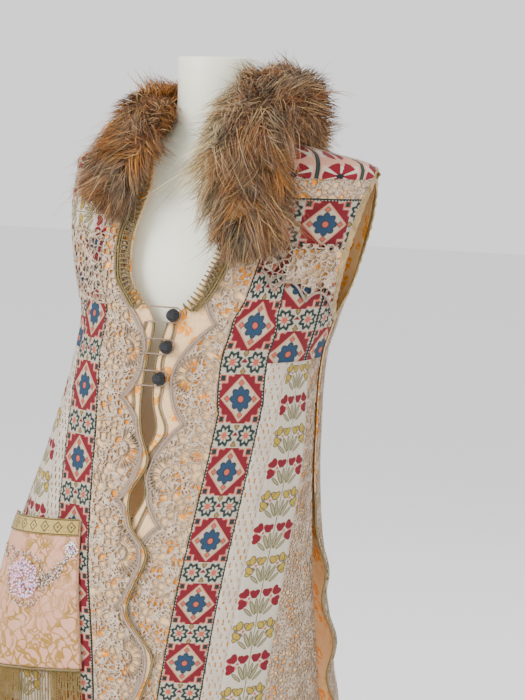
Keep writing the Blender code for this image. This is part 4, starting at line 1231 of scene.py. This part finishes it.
def lace_edging(name, panel, top):
    side = panel.side
    band = panel.lines()[1]

    def tips(height):
        return np.interp(height, *np.array(panel.tip_rows).T)

    def free_side(height):
        wave = np.abs(np.cos(np.pi * (height - panel.tip_height) / SCALLOP_PITCH)) ** 0.75
        line = tips(height) + side * SCALLOP_DEPTH * (1 - wave)
        clear = panel.edge(height) + side * 0.0008
        return np.maximum(line, clear) if side > 0 else np.minimum(line, clear)

    def band_side(height):
        return band(height) - side * 0.0013

    def edging_uv(u, along, height, start, stop):
        return (along - tips(height)) * side, height - panel.tip_height

    towards = math.pi if side > 0 else 0.0
    gaps = []
    for repeat in range(-7, 3):
        middle = panel.tip_height + repeat * SCALLOP_PITCH
        if not HEM_HEIGHT - 0.05 < middle < top + 0.05:
            continue
        line = float(tips(middle))
        gaps += fan_gaps(line + side * 0.030, middle, towards, 0.011, 0.0235, 0.0027, 6, 160)
        for k in range(5):
            height = middle + (k - 2) * SCALLOP_PITCH / 5
            edge = float(band(np.array([height]))[0])
            gaps.append(lozenge(edge - side * 0.0125, height, 0.0036, 0.0072))
        gaps.append(lozenge(line + side * 0.044, middle + 0.027, 0.0034, 0.0056))
        gaps.append(lozenge(line + side * 0.044, middle - 0.027, 0.0034, 0.0056))
    cloth(name, panel, free_side, band_side, HEM_HEIGHT + 0.0005, top, LACE_OUT,
          LACE_OUT - LACE_IN, FINISH["edging"], "lace", edging_uv, cell=0.0021, gaps=gaps)
    heights = np.arange(HEM_HEIGHT + 0.003, top - 0.001, 0.0022)
    line = free_side(heights) + side * 0.0022
    swell = 0.0021 + 0.0003 * np.sin(heights * 2 * np.pi / 0.0052)
    rope(name + "_rim", panel.place(line, heights, LACE_OUT + 0.0002), FRONT.normal(line, heights),
         swell, FINISH["loop"], "lace", sides=6, flat=0.55)


def upper_lace():
    """Net lace laid over the top of the right front's band, down to its armhole."""
    lines = RIGHT.lines()

    def outward(height):
        return lines[-1](height) + 0.004

    cloth("upper_lace_right", RIGHT, lines[1], outward, 1.150, 1.246, LACE_OUT,
          LACE_OUT - COVER_OUT - 0.0002, FINISH["net"], "lace", metric_uv, nodes=(), cell=0.004)


def cape():
    lines = LEFT.lines()
    inner, outer = lines[1], lines[-1]

    def across(share):
        return 0.06 + 0.88 * share

    def low_line(share):
        dip = 0.019 * np.abs(np.cos(np.pi * 2.5 * share)) ** 0.8
        return 1.187 - 0.035 * share + dip

    columns, rows = 60, 40
    piece, u, v = sheet_mesh("cape_lace_cloth", columns, rows, FINISH["net"], "lace")
    height = low_line(u) + (1.243 - low_line(u)) * v
    start, stop = inner(height), outer(height)
    along = start + (stop - start) * across(u)
    points = LEFT.place(along, height, np.full_like(u, CAPE_IN + LACE_OUT - LACE_IN))
    set_places(piece, points, np.stack([along, height], 1))
    area = area_of(piece)
    thicken(piece, LACE_OUT - LACE_IN)
    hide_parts("cape_lace_left")
    share = np.linspace(0, 1, 90)
    height = low_line(share) + 0.0015
    start, stop = inner(height), outer(height)
    line = start + (stop - start) * across(share)
    rope("cape_rim", LEFT.place(line, height, CAPE_IN + 0.0018), FRONT.normal(line, height),
         0.0020, FINISH["loop"], "lace", sides=6, flat=0.55)


# Trims
def armhole_ribbon(name, side):
    heights = np.linspace(UNDERARM_HEIGHT, SHOULDER_TIP_HEIGHT, 60)
    front = LEFT if side > 0 else RIGHT
    line = front.outer(heights)
    back_line = BACK.edge_at(side)(heights)
    there = np.concatenate([
        front.place(line, heights, np.zeros_like(heights)),
        BACK.place(back_line, heights, np.zeros_like(heights))[::-1][1:],
    ])
    ups = np.concatenate([FRONT.normal(line, heights), REAR.normal(back_line, heights)[::-1][1:]])
    loop = np.arange(len(there))
    forward = there[(loop + 1) % len(there)] - there[loop - 1]
    forward /= np.linalg.norm(forward, axis=1, keepdims=True)
    middle = there.mean(0)
    inward = np.cross(forward, ups)
    inward /= np.linalg.norm(inward, axis=1, keepdims=True)
    inward *= np.sign((inward * (middle - there)).sum(1, keepdims=True))
    count = len(there)
    sides = 16
    piece, _, turn, share = bundle(name + "_satin", 1, sides, count, FINISH["satin"], "ribbon")
    row = np.rint(share * count).astype(int) % count
    angle = 2 * np.pi * turn
    lengths = np.concatenate([[0], np.cumsum(np.linalg.norm(np.diff(there, axis=0), axis=1))])
    pucker = 0.0006 * np.sin(lengths[row] * 2 * np.pi / 0.017) + 0.0004 * np.sin(lengths[row] * 520)
    wide = 0.0062 + pucker * 0.8
    tall = 0.0018 + pucker * 0.9 * (np.sin(angle) > 0)
    squared = np.abs(np.cos(angle)) ** 0.7 * np.sign(np.cos(angle))
    points = (
        there[row]
        + inward[row] * (0.0062 + wide * squared)[:, None]
        + ups[row] * (0.0015 + tall * np.sin(angle))[:, None]
    )
    length = np.where(np.rint(share * count) == count, lengths[-1] + 0.004, lengths[row])
    set_places(piece, points, np.stack([turn, length], 1))
    face_out(piece)
    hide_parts(name)


def neck_gimp(name, panel):
    """A coiled gimp cord along the neckline, with two plain cords inside it."""
    side = panel.side
    turns = 38
    steps = turns * 14
    t = np.linspace(0, 1, steps)
    height = 1.150 + 0.222 * t
    line = panel.edge(height) + side * 0.006
    base = panel.place(line, height, LACE_OUT + 0.0030)
    up = FRONT.normal(line, height)
    forward = np.gradient(base, axis=0)
    forward /= np.linalg.norm(forward, axis=1, keepdims=True)
    across = np.cross(forward, up)
    spin = 2 * np.pi * turns * t
    path = base + across * (0.0072 * np.cos(spin))[:, None] + up * (0.0016 * np.sin(spin))[:, None]
    path += forward * (0.0016 * np.sin(spin * 1.0))[:, None]
    rope(name + "_coil", path, up, 0.0012, FINISH["olive_gold"], "gold_cord", sides=5, nodes=[name])
    t = np.linspace(0, 1, 110)
    height = 1.150 + 0.200 * t
    for k, away in enumerate((0.0140, 0.0182, 0.0224)):
        line = panel.edge(height) + side * away
        rope(f"{name}_row_{k + 1}", panel.place(line, height, LACE_OUT + 0.0010),
             FRONT.normal(line, height), 0.0015, FINISH["olive_gold"], "gold_cord", sides=6,
             flat=0.8)


def edge_cords(name, panel, edge, normal, side, low, high):
    """The double cord along an edge: one on it and one a little way in."""
    heights = np.arange(low, high, 0.0025)
    line = edge(heights) - side * 0.0018
    rope(name + "_outer", panel.place(line, heights, CLOTH / 2), normal(line, heights), 0.0016,
         FINISH["olive_gold"], "gold_cord", sides=7, nodes=[name])
    inset = 0.0085 + 0.0022 * np.sin(heights * 2 * np.pi / 0.061)
    line = edge(heights) + side * inset
    rope(name + "_inner", panel.place(line, heights, CLOTH + 0.0006), normal(line, heights),
         0.0013, FINISH["olive_gold"], "gold_cord", sides=6, flat=0.8)
    line = edge(heights) + side * (inset + 0.0033)
    rope(name + "_inner_light", panel.place(line, heights, CLOTH + 0.0004), normal(line, heights),
         0.0011, FINISH["loop"], "gold_cord", sides=6, flat=0.8)


# Fur
FUR_LEFT = (
    (1.240, 0.104, 0.012, 0.012, False), (1.256, 0.102, 0.038, 0.022, False),
    (1.282, 0.094, 0.057, 0.034, False), (1.312, 0.086, 0.064, 0.043, False),
    (1.340, 0.080, 0.064, 0.052, False), (1.360, 0.080, 0.056, 0.060, False),
    (1.360, 0.076, 0.052, 0.062, True), (1.350, 0.064, 0.048, 0.054, True),
    (1.338, 0.046, 0.044, 0.040, True),
)
FUR_RIGHT = (
    (1.290, 0.112, 0.012, 0.010, False), (1.302, 0.102, 0.034, 0.018, False),
    (1.320, 0.087, 0.046, 0.028, False), (1.338, 0.074, 0.043, 0.037, False),
    (1.358, 0.069, 0.037, 0.044, False), (1.360, 0.065, 0.036, 0.044, True),
    (1.348, 0.056, 0.039, 0.042, True), (1.338, 0.046, 0.040, 0.038, True),
)
FUR_BACK = (
    (1.336, 0.0443, 0.042, 0.032, True), (1.334, 0.022, 0.044, 0.034, True),
    (1.333, 0.000, 0.045, 0.035, True), (1.334, -0.022, 0.044, 0.034, True),
    (1.336, -0.0443, 0.042, 0.032, True),
)
SHOULDER_CLEARANCE = 0.002
FUR_COLOURS = {
    "grey": dye("#7d7060"),
    "brown": dye("#45301f"),
    "rust": dye("#a4561a"),
    "orange": dye("#cf8423"),
    "tan": dye("#c6a468"),
    "cream": dye("#ecdcae"),
    "tip": dye("#170e08"),
}


def fur_axis(rows, side, clearance):
    """The middle line of a roll of fur, with its directions and half sizes."""
    bases, ups = [], []
    for height, across, _, _, on_back in rows:
        shell = REAR if on_back else FRONT
        level = int(shell.level(np.array([height]))[0][0])
        ring, lengths = shell.points[level], shell.along[level]
        half = (ring[:, 1] > 0) & (np.abs(ring[:, 0]) < 0.2) if on_back else ring[:, 1] < 0
        order = np.argsort(ring[half, 0])
        along = np.interp(side * across, ring[half, 0][order], lengths[half][order])
        bases.append(shell.spot(np.array([along]), np.array([height]))[0])
        ups.append(shell.normal(np.array([along]), np.array([height]))[0])
    bases, ups = np.array(bases), np.array(ups)
    count = len(rows)
    nxt, before = np.minimum(np.arange(count) + 1, count - 1), np.maximum(np.arange(count) - 1, 0)
    forward = bases[nxt] - bases[before]
    forward /= np.linalg.norm(forward, axis=1, keepdims=True)
    up = ups - forward * (ups * forward).sum(1, keepdims=True)
    up /= np.linalg.norm(up, axis=1, keepdims=True)
    across = np.cross(forward, up)
    table = np.array([row[:4] for row in rows])
    clear = clearance + SHOULDER_CLEARANCE * eased(table[:, 0], 1.32, 1.352)
    centre = bases + up * (table[:, 3] * 0.80 + clear)[:, None]
    return centre, forward, across, up, table[:, 2], table[:, 3]


def fur_roll(name, rows, side, clearance, count, seed, paint):
    """A skin roll and the long tapered hairs that stand on it."""
    centre, forward, across, up, wide, thick = fur_axis(rows, side, clearance)
    stations = len(rows)

    def at(place, table):
        """A row's values read between the rows."""
        low = np.clip(place.astype(int), 0, stations - 2)
        share = place - low
        share = share * share * (3 - 2 * share) if table.ndim == 1 else share
        if table.ndim == 2:
            share = share[:, None]
        return table[low] * (1 - share) + table[low + 1] * share

    sides, long = 24, 40
    piece, _, turn, share = bundle(name + "_skin", 1, sides, long, FINISH["fur_skin"], "fur")
    place = share * (stations - 1)
    angle = 2 * np.pi * turn
    ends = np.sqrt(np.clip(1 - (2 * share - 1) ** 6, 0.02, 1))
    core = 0.72
    points = at(place, centre) + core * ends[:, None] * (
        at(place, across) * (at(place, wide) * np.cos(angle))[:, None]
        + at(place, up) * (at(place, thick) * np.sin(angle))[:, None]
    )
    set_places(piece, points)
    face_out(piece)
    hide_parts(name)

    random = np.random.default_rng(seed)
    steps = 4
    hairs, which, edge, t = bundle(name + "_hair", count, 1, steps, FINISH["fur_hair"], "fur")

    def grown(place, angle, stray):
        """Where hairs start, and the ways they stand and fall."""
        body = at(place, across) * np.cos(angle)[:, None] + at(place, up) * np.sin(angle)[:, None]
        offset = (
            at(place, across) * (at(place, wide) * np.cos(angle))[:, None]
            + at(place, up) * (at(place, thick) * np.sin(angle))[:, None]
        )
        down = -at(place, forward)
        jitter = random.normal(0, 1, (len(place), 3))
        lean = body * 0.70 + down * 0.55 + jitter * stray
        lean /= np.linalg.norm(lean, axis=1, keepdims=True)
        fall = down * 0.35 + np.array([0.0, 0.0, -0.40]) + jitter * stray
        return at(place, centre) + core * 0.9 * offset, body, lean, fall

    locks = count // 60
    lock_place = random.uniform(0.0, stations - 1.001, locks)
    lock_angle = random.uniform(0, 2 * np.pi, locks)
    lock_angle = np.where(np.sin(lock_angle) < -0.55, -lock_angle, lock_angle)
    lock_root, _, lock_lean, lock_fall = grown(lock_place, lock_angle, 0.30)
    lock_long = random.uniform(0.75, 1.15, locks)
    mine = random.integers(locks, size=count)
    place0 = np.clip(lock_place[mine] + random.normal(0, 0.20, count), 0.0, stations - 1.001)
    angle0 = lock_angle[mine] + random.normal(0, 0.24, count)
    root, body, lean, fall = grown(place0, angle0, 0.12)
    length = (0.030 + 0.42 * at(place0, wide)) * random.uniform(0.6, 1.0, count) * lock_long[mine]
    length *= np.where(random.uniform(0, 1, count) > 0.965, 1.65, 1.0)

    def run(start, way, drop, long, t):
        return start + long[:, None] * (way * 0.85 * t[:, None] + drop * 0.45 * t[:, None] ** 2)

    path = run(root[which], lean[which], fall[which], length[which], t)
    lock = mine[which]
    shared = run(lock_root[lock], lock_lean[lock], lock_fall[lock], length[which], t)
    path += (shared - path) * (0.62 * t**1.6)[:, None]
    tangent = lean[which] * 0.85 + fall[which] * 0.9 * t[:, None]
    face = random.normal(0, 1, (count, 3))
    flat = np.cross(tangent, body[which] + 0.5 * face[which])
    flat /= np.linalg.norm(flat, axis=1, keepdims=True)
    breadth = (0.00050 + 0.0003 * random.uniform(0, 1, count))[which] * (1 - t**1.6 * 0.96)
    points = path + flat * ((edge - 0.5) * 2 * breadth)[:, None]
    set_places(hairs, points)
    set_tint(hairs, paint(root, which, t, random, lock_long[mine] * 2.5 - 1.9))
    return hairs


def blend_colours(first, second, share):
    return first * (1 - share[:, None]) + second * share[:, None]


def paint_fur(warm, pale):
    """Colours along each hair: a dull root, a warm middle and a dark or pale tip, by place."""

    def paint(root, which, t, random, lock):
        count = len(root)
        shade = {name: np.tile(c, (count, 1)) for name, c in FUR_COLOURS.items()}
        patch = 0.5 + 0.5 * np.sin(root[:, 0] * 95 + 1.3) * np.sin(root[:, 2] * 80 + 0.4)
        warmth = patch * 0.6 + warm(root) + (lock - 0.5) * 0.7 + random.normal(0, 0.12, count)
        warmth = np.clip(warmth, 0, 1)
        middle = blend_colours(shade["grey"], shade["rust"], warmth)
        middle = blend_colours(
            middle, shade["orange"], np.clip(warmth * 1.4 - 0.7, 0, 1)
        )
        light = np.clip(pale(root) + random.normal(0, 0.12, count), 0, 1)
        middle = blend_colours(middle, shade["cream"], light)
        streak = random.uniform(0, 1, count)
        middle = blend_colours(middle, shade["tan"], (streak > 0.8) * 0.7)
        middle = blend_colours(middle, shade["brown"], (streak < 0.30) * 0.80)
        under = blend_colours(
            shade["brown"], shade["tan"], np.clip(light * 1.2, 0, 1)
        )
        dark = np.clip(0.60 - light * 0.9 + random.normal(0, 0.25, count), 0, 1)
        last = blend_colours(middle, shade["tip"], dark)
        rise = np.clip(t / 0.35, 0, 1)
        ending = np.clip((t - 0.62) / 0.38, 0, 1)
        colour = blend_colours(under[which], middle[which], rise)
        return blend_colours(colour, last[which], ending)

    return paint


def fur():
    def warm_left(root):
        return 0.25 * np.exp(-(((root[:, 2] - 1.345) / 0.03) ** 2)) + 0.12 * (root[:, 0] > 0.12)

    def pale_left(root):
        return 1.1 * np.exp(-((root[:, 0] - 0.045) / 0.022) ** 2) * (root[:, 2] > 1.27)

    def warm_right(root):
        return 0.35 * (root[:, 2] > 1.35) + 0.2 * np.exp(-((root[:, 0] + 0.12) / 0.02) ** 2)

    def pale_right(root):
        return 0.8 * np.exp(-((root[:, 0] + 0.145) / 0.018) ** 2) * (root[:, 2] < 1.31)

    fur_roll("fur_left", FUR_LEFT, 1, 0.0068, 18500, 11, paint_fur(warm_left, pale_left))
    fur_roll("fur_right", FUR_RIGHT, -1, 0.0038, 14500, 12, paint_fur(warm_right, pale_right))
    fur_roll("fur_back", FUR_BACK, 1, 0.0070, 8000, 13, paint_fur(warm_left, pale_left))


# Buttons
BUTTON_HEIGHTS = (1.143, 1.101, 1.059)
BUTTON_ALONG = 0.0035
BUTTON_RADIUS = 0.009


def buttons():
    for index, height in enumerate(BUTTON_HEIGHTS, 1):
        here = np.array([BUTTON_ALONG]), np.array([height])
        up = FRONT.normal(*here)[0]
        middle = LEFT.place(*here, np.array([CLOTH]))[0] + up * (BUTTON_RADIUS + 0.0003)
        knot = []
        side = np.cross(up, (0, 0, 1.0))
        side /= np.linalg.norm(side)
        third = np.cross(up, side)
        axes = ((up, side, third), (side, third, up), (third, up, side))
        for kind, (axis, one, two) in enumerate(axes):
            for k in (-1, 0, 1):
                ring = math.sqrt(1 - (0.36 * k) ** 2)
                turn = np.linspace(0, 2 * np.pi, 37)
                weave_in = 0.94 + 0.035 * np.sin(turn * 2 + kind * 2.1 + k)
                circle = (
                    axis * 0.36 * k
                    + one * (ring * np.cos(turn))[:, None]
                    + two * (ring * np.sin(turn))[:, None]
                )
                radial = circle / np.linalg.norm(circle, axis=1, keepdims=True)
                path = middle + circle * (BUTTON_RADIUS * 0.86 * weave_in)[:, None]
                knot.append(rope(f"button_{index}_cord_{len(knot) + 1}", path, radial, 0.00155,
                                 FINISH["knot"], "black_cord", sides=6))
        bm = bmesh.new()
        bmesh.ops.create_icosphere(bm, subdivisions=3, radius=BUTTON_RADIUS * 0.86)
        bmesh.ops.translate(bm, verts=bm.verts[:], vec=tuple(middle))
        mesh = bpy.data.meshes.new(f"button_{index}_core")
        bm.to_mesh(mesh)
        bm.free()
        core = bpy.data.objects.new(mesh.name, mesh)
        bpy.context.scene.collection.objects.link(core)
        dress(core, FINISH["knot"], "black_cord")
        joined = join_pieces(f"button_{index}_knot", knot + [core])
        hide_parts(f"button_{index}")

        reach, bend, cord = 0.036, 0.0099, 0.0011
        turn = np.linspace(-np.pi / 2, np.pi / 2, 25)
        straight = np.linspace(-reach, 0, 9)[:-1]
        across = np.concatenate([straight, bend * np.cos(turn), straight[::-1]]) + BUTTON_ALONG
        rise = np.concatenate([np.full(8, -bend), bend * np.sin(turn), np.full(8, bend)])
        normal = FRONT.normal(across, height + rise)
        path = FRONT.spot(across, height + rise) + normal * (LACE_OUT + cord + 0.0004)
        rope(f"loop_{index}_cord", path, normal, cord, FINISH["loop"], "gold_cord", sides=7,
             nodes=[f"loop_{index}"])


def join_pieces(name, pieces):
    """Several meshes made one piece."""
    bm = bmesh.new()
    for piece in pieces:
        bm.from_mesh(piece.data)
    mesh = bpy.data.meshes.new(name)
    bm.to_mesh(mesh)
    bm.free()
    made = bpy.data.objects.new(name, mesh)
    bpy.context.scene.collection.objects.link(made)
    finish, slot = pieces[0].data.materials[0], pieces[0]["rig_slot"]
    for piece in pieces:
        bpy.data.objects.remove(piece)
    dress(made, finish, slot)
    return made


# Pocket
POCKET_TOP = 0.866
POCKET_BOTTOM = 0.680
POCKET_WIDTH = 0.172
POCKET_DROP = 0.022
POCKET_OUT = 0.0050
POCKET_SWELL = 0.010
POCKET_DEPTH = 0.003
BRAID_TALL = 0.0205
ROSE_SHARE = 0.46
ROSE_HEIGHT = 0.789
FRINGE_LENGTH = 0.086


def pocket_along(share, height):
    return -0.064 + (POCKET_TOP - height) * 0.25 - POCKET_WIDTH * share


def pocket_swell(share, height):
    across = np.maximum(np.sin(np.pi * np.clip(share, 0, 1)), 0.0) ** 0.6
    down = np.clip((height - POCKET_BOTTOM) / (POCKET_TOP - POCKET_BOTTOM), 0, 1)
    return POCKET_SWELL * across * (0.35 + 0.65 * np.sin(np.pi * down) ** 0.6)


def on_pocket(share, height, out):
    """The pocket hangs lower towards its outer edge."""
    dropped = height - POCKET_DROP * share
    return RIGHT.place(pocket_along(share, height), dropped, POCKET_OUT + out)


def pocket():
    columns, rows = 60, 64
    piece, u, v = sheet_mesh("pocket_bag_cloth", columns, rows, FINISH["brocade"], "brocade")
    height = POCKET_BOTTOM + (POCKET_TOP - POCKET_BOTTOM) * v
    gather = 0.0010 * np.sin(u * 46 + v * 3) * np.clip(1 - v * 3, 0, 1)
    points = on_pocket(u, height, POCKET_DEPTH + pocket_swell(u, height) + gather)
    set_places(piece, points, np.stack([u * POCKET_WIDTH, v * 0.186], 1))
    turn_out(piece, -1)
    area = area_of(piece)
    thicken(piece, 0.0018)
    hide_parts("pocket_bag")

    low, high = POCKET_TOP - BRAID_TALL, POCKET_TOP + 0.001
    piece, u, v = sheet_mesh("pocket_braid_woven", 70, 8, FINISH["braid"], "gold_cord")
    height = low + (high - low) * v
    ridge = 0.0003 * np.cos(v * 6 * np.pi)
    points = on_pocket(u, height, POCKET_DEPTH + pocket_swell(u, height) + 0.0018 + ridge)
    set_places(piece, points, np.stack([u * POCKET_WIDTH, (v - 0.5) * 0.021], 1))
    turn_out(piece, -1)
    thicken(piece, 0.0013)
    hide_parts("pocket_braid")

    beads()
    fringe()
    for name, share in (("pocket_side_inner", 0.0), ("pocket_side_outer", 1.0)):
        heights = np.linspace(POCKET_BOTTOM, POCKET_TOP, 60)
        shares = np.full_like(heights, share)
        normal = FRONT.normal(pocket_along(shares, heights), heights)
        rope(name, on_pocket(shares, heights, np.full_like(heights, 0.0018)), normal, 0.0018,
             FINISH["brocade"], "brocade", sides=8)


def beads():
    """The beaded rose, its leaves and the swag of beads to a small flower."""
    random = np.random.default_rng(5)
    spots = []
    petals = (dye("#d8a8c8"), dye("#c9d2e8"), dye("#e6b6cf"), dye("#b9c7dd"))
    for ring in range(1, 9):
        reach = 0.0028 * ring
        count = max(int(2 * math.pi * reach / 0.0030), 5)
        for k in range(count):
            turn = 2 * math.pi * k / count + ring * 0.4
            curl = 0.5 + 0.5 * math.sin(5 * turn + ring * 0.7)
            colour = petals[int(1.5 + 1.5 * math.sin(5 * turn + ring * 0.7)) % 4]
            turn += random.uniform(-0.12, 0.12)
            away = reach + 0.0022 * curl + random.uniform(-0.0009, 0.0009)
            spots.append((ROSE_SHARE + away * math.cos(turn) / POCKET_WIDTH,
                          ROSE_HEIGHT + away * math.sin(turn), 0.0026 + 0.0040 * curl,
                          random.uniform(0.0015, 0.0022), colour))
    dull = (dye("#8e7f72"), dye("#c8b08a"), dye("#6b6670"), dye("#d8c8b8"))
    for k in range(210):
        turn = random.uniform(0.0, 2 * math.pi)
        reach = 0.0285 + random.uniform(0, 0.0065)
        if 0.3 < turn < 1.2:
            reach += 0.004
        spots.append((ROSE_SHARE + reach * math.cos(turn) / POCKET_WIDTH,
                      ROSE_HEIGHT + reach * math.sin(turn), 0.0022, 0.0012,
                      dull[int(random.integers(4))]))
    for k in range(230):
        s = random.uniform(0, 1)
        share = 0.33 - 0.27 * s
        height = 0.788 + 0.038 * s - 0.010 * math.sin(s * 3.0)
        spread = 0.010 * (1 - 0.75 * s)
        spots.append((share + random.uniform(-1, 1) * spread / POCKET_WIDTH,
                      height + random.uniform(-1, 1) * spread, 0.0020, 0.0012,
                      dull[int(random.integers(4))]))
    for k in range(90):
        s = random.uniform(0, 1)
        spots.append((
            0.62 + 0.22 * s,
            0.820 + 0.006 * math.sin(s * 9) + random.uniform(-0.003, 0.003),
            0.0018, 0.0011, dull[int(random.integers(4))]))
    for k in range(60):
        turn, reach = random.uniform(0, 2 * math.pi), 0.0095 * math.sqrt(random.uniform(0, 1))
        colour = dye("#dfe4ee") if reach > 0.004 else dye("#b79ac4")
        spots.append((0.045 + reach * math.cos(turn) / POCKET_WIDTH,
                      0.829 + reach * math.sin(turn), 0.0024, 0.0013, colour))
    share, height, out, radius = (np.array([s[k] for s in spots]) for k in range(4))
    middles = on_pocket(share, height, POCKET_DEPTH + pocket_swell(share, height) + out)
    bm = bmesh.new()
    for middle, size in zip(middles, radius):
        bmesh.ops.create_icosphere(
            bm, subdivisions=1, radius=float(size), matrix=Matrix.Translation(Vector(middle))
        )
    each = len(bm.verts) // len(spots)
    mesh = bpy.data.meshes.new("pocket_beads")
    bm.to_mesh(mesh)
    bm.free()
    piece = bpy.data.objects.new("pocket_beads", mesh)
    bpy.context.scene.collection.objects.link(piece)
    dress(piece, FINISH["beads"], "pearl")
    set_tint(piece, np.repeat([s[4] for s in spots], each, axis=0))
    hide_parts("pocket_applique")


def fringe():
    """Twisted bullion strands below the pocket, thinner in the middle."""
    random = np.random.default_rng(7)
    shares = np.linspace(0.008, 0.992, 74)
    thin = (np.abs(shares - 0.42) < 0.13) & (np.arange(74) % 2 == 0)
    shares = shares[~thin]
    count = 2 * len(shares)
    steps = 44
    piece, which, turn, t = bundle("bullion_fringe", count, 4, steps, FINISH["gold"], "gold_cord")
    strand, ply = which // 2, which % 2
    length = FRINGE_LENGTH * random.uniform(0.94, 1.0, len(shares))
    sway = random.normal(0, 0.0016, (len(shares), 2))
    share = shares[strand] + sway[strand, 0] / POCKET_WIDTH * t
    height = POCKET_BOTTOM + 0.002 - (length[strand] + 0.006) * t
    out = 0.0022 + 0.0016 * t + sway[strand, 1] * 0.6 * t
    path = on_pocket(share, height, out)
    along = pocket_along(share, height)
    up = FRONT.normal(along, height)
    side = np.cross(up, (0.0, 0.0, 1.0))
    side /= np.linalg.norm(side, axis=1, keepdims=True)
    spin = 2 * np.pi * (t * 13 + ply * 0.5 + strand * 0.13)
    radius, cord = 0.00055, 0.00062
    centre = path + (side * np.cos(spin)[:, None] + up * np.sin(spin)[:, None]) * radius
    angle = 2 * np.pi * turn
    points = centre + (side * np.cos(angle)[:, None] + up * np.sin(angle)[:, None]) * cord
    set_places(piece, points, np.stack([turn, t * FRINGE_LENGTH], 1))
    face_out(piece)
    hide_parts("pocket_fringe")
    t = np.linspace(0.0, 1.0, 120)
    height = np.full_like(t, POCKET_BOTTOM - 0.002)
    normal = FRONT.normal(pocket_along(t, height), height)
    path = on_pocket(t, height, np.full_like(t, 0.0036))
    rope("fringe_heading", path, normal, 0.0022, FINISH["olive_gold"], "gold_cord", sides=8)


def form_and_stand():
    for name, finish in (("form_torso", "form"), ("stand_pole", "stand"), ("stand_base", "stand")):
        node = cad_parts[name]
        node.data.materials.clear()
        node.data.materials.append(FINISH[finish])
    smooth_form()


def smooth_form():
    """The solid's form with its flat parts merged and its sharp rims bevelled, with the neck's flat
    top.
    """
    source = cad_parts["form_torso"].data
    bm = bmesh.new()
    bm.from_mesh(source)
    bmesh.ops.remove_doubles(bm, verts=bm.verts[:], dist=1e-5)
    bmesh.ops.dissolve_limit(bm, angle_limit=0.003, verts=bm.verts[:], edges=bm.edges[:])
    mesh = bpy.data.meshes.new("form_body")
    bm.to_mesh(mesh)
    bm.free()
    piece = bpy.data.objects.new("form_body", mesh)
    bpy.context.scene.collection.objects.link(piece)
    dress(piece, FINISH["form"], "form")
    bevel = piece.modifiers.new("rim", "BEVEL")
    bevel.limit_method = "ANGLE"
    bevel.angle_limit = math.radians(50)
    bevel.width = 0.003
    bevel.segments = 3
    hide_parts("form_torso")


def studio():
    floor_finish = Finish("pale_floor", 0.9)
    floor_finish.shader.inputs["Base Color"].default_value = (0.86, 0.86, 0.86, 1)
    bm = bmesh.new()
    bmesh.ops.create_grid(bm, x_segments=1, y_segments=1, size=14.0)
    mesh = bpy.data.meshes.new("floor")
    bm.to_mesh(mesh)
    bm.free()
    floor = bpy.data.objects.new("floor", mesh)
    bpy.context.scene.collection.objects.link(floor)
    mesh.materials.append(floor_finish.material)

    world = bpy.data.worlds.new("studio")
    world.use_nodes = True
    world.node_tree.nodes["Background"].inputs[0].default_value = (1.0, 1.0, 1.0, 1)
    world.node_tree.nodes["Background"].inputs[1].default_value = 1.30
    bpy.context.scene.world = world
    for name, place, size, power in (
        ("key", (-1.9, -2.6, 2.9), 1.6, 160),
        ("fill", (2.6, -2.0, 1.6), 2.4, 60),
        ("rear", (0.6, 2.6, 2.6), 2.0, 30),
    ):
        data = bpy.data.lights.new(name, "AREA")
        data.energy = power
        data.size = size
        lamp = bpy.data.objects.new(name, data)
        lamp.location = place
        aim = Vector((0.0, 0.0, 1.0)) - Vector(place)
        lamp.rotation_mode = "QUATERNION"
        lamp.rotation_quaternion = aim.to_track_quat("-Z", "Y")
        bpy.context.scene.collection.objects.link(lamp)

    azimuth, elevation, roll = math.radians(20), math.radians(8), math.radians(1.5)
    distance, tall = 2.6, 0.945
    focal = PICTURE[1] * distance / tall
    right = Vector((math.cos(azimuth), math.sin(azimuth), 0))
    ahead = Vector((
        -math.sin(azimuth) * math.cos(elevation),
        math.cos(azimuth) * math.cos(elevation),
        -math.sin(elevation),
    ))
    up = right.cross(ahead)
    turned_right = right * math.cos(roll) + up * math.sin(roll)
    turned_up = up * math.cos(roll) - right * math.sin(roll)
    away = ahead + turned_right * ((NECK_SPOT[0] - PICTURE[0] / 2) / focal)
    away += turned_up * ((PICTURE[1] / 2 - NECK_SPOT[1]) / focal)
    data = bpy.data.cameras.new("camera")
    data.sensor_width = 36.0
    data.lens = focal / PICTURE[1] * data.sensor_width
    camera = bpy.data.objects.new("camera", data)
    camera.location = Vector((0, 0, NECK_TOP)) - away * distance
    matrix = Matrix((turned_right, turned_up, -ahead)).transposed()
    camera.rotation_mode = "QUATERNION"
    camera.rotation_quaternion = matrix.to_quaternion()
    data.clip_start, data.clip_end = 0.05, 60
    bpy.context.scene.collection.objects.link(camera)
    bpy.context.scene.camera = camera


studio()
form_and_stand()
base_cloth()
front_covers(LEFT, "left")
front_covers(RIGHT, "right")
back_covers()
lace_edging("lace_left", LEFT, 1.262)
lace_edging("lace_right", RIGHT, 1.29)
upper_lace()
cape()
armhole_ribbon("armhole_binding_left", 1)
armhole_ribbon("armhole_binding_right", -1)
neck_gimp("neck_braid_left", LEFT)
neck_gimp("neck_braid_right", RIGHT)
edge_cords("edge_cord_left", LEFT, LEFT.edge, FRONT.normal, 1, HEM_HEIGHT, UNDERARM_HEIGHT)
edge_cords("edge_cord_right", RIGHT, RIGHT.edge, FRONT.normal, -1, HEM_HEIGHT, UNDERARM_HEIGHT)
edge_cords("slit_cord_left", BACK, BACK.edge_at(1), REAR.normal, 1, HEM_HEIGHT, SLIT_TOP)
edge_cords("slit_cord_right", BACK, BACK.edge_at(-1), REAR.normal, -1, HEM_HEIGHT, SLIT_TOP)
fur()
buttons()
pocket()
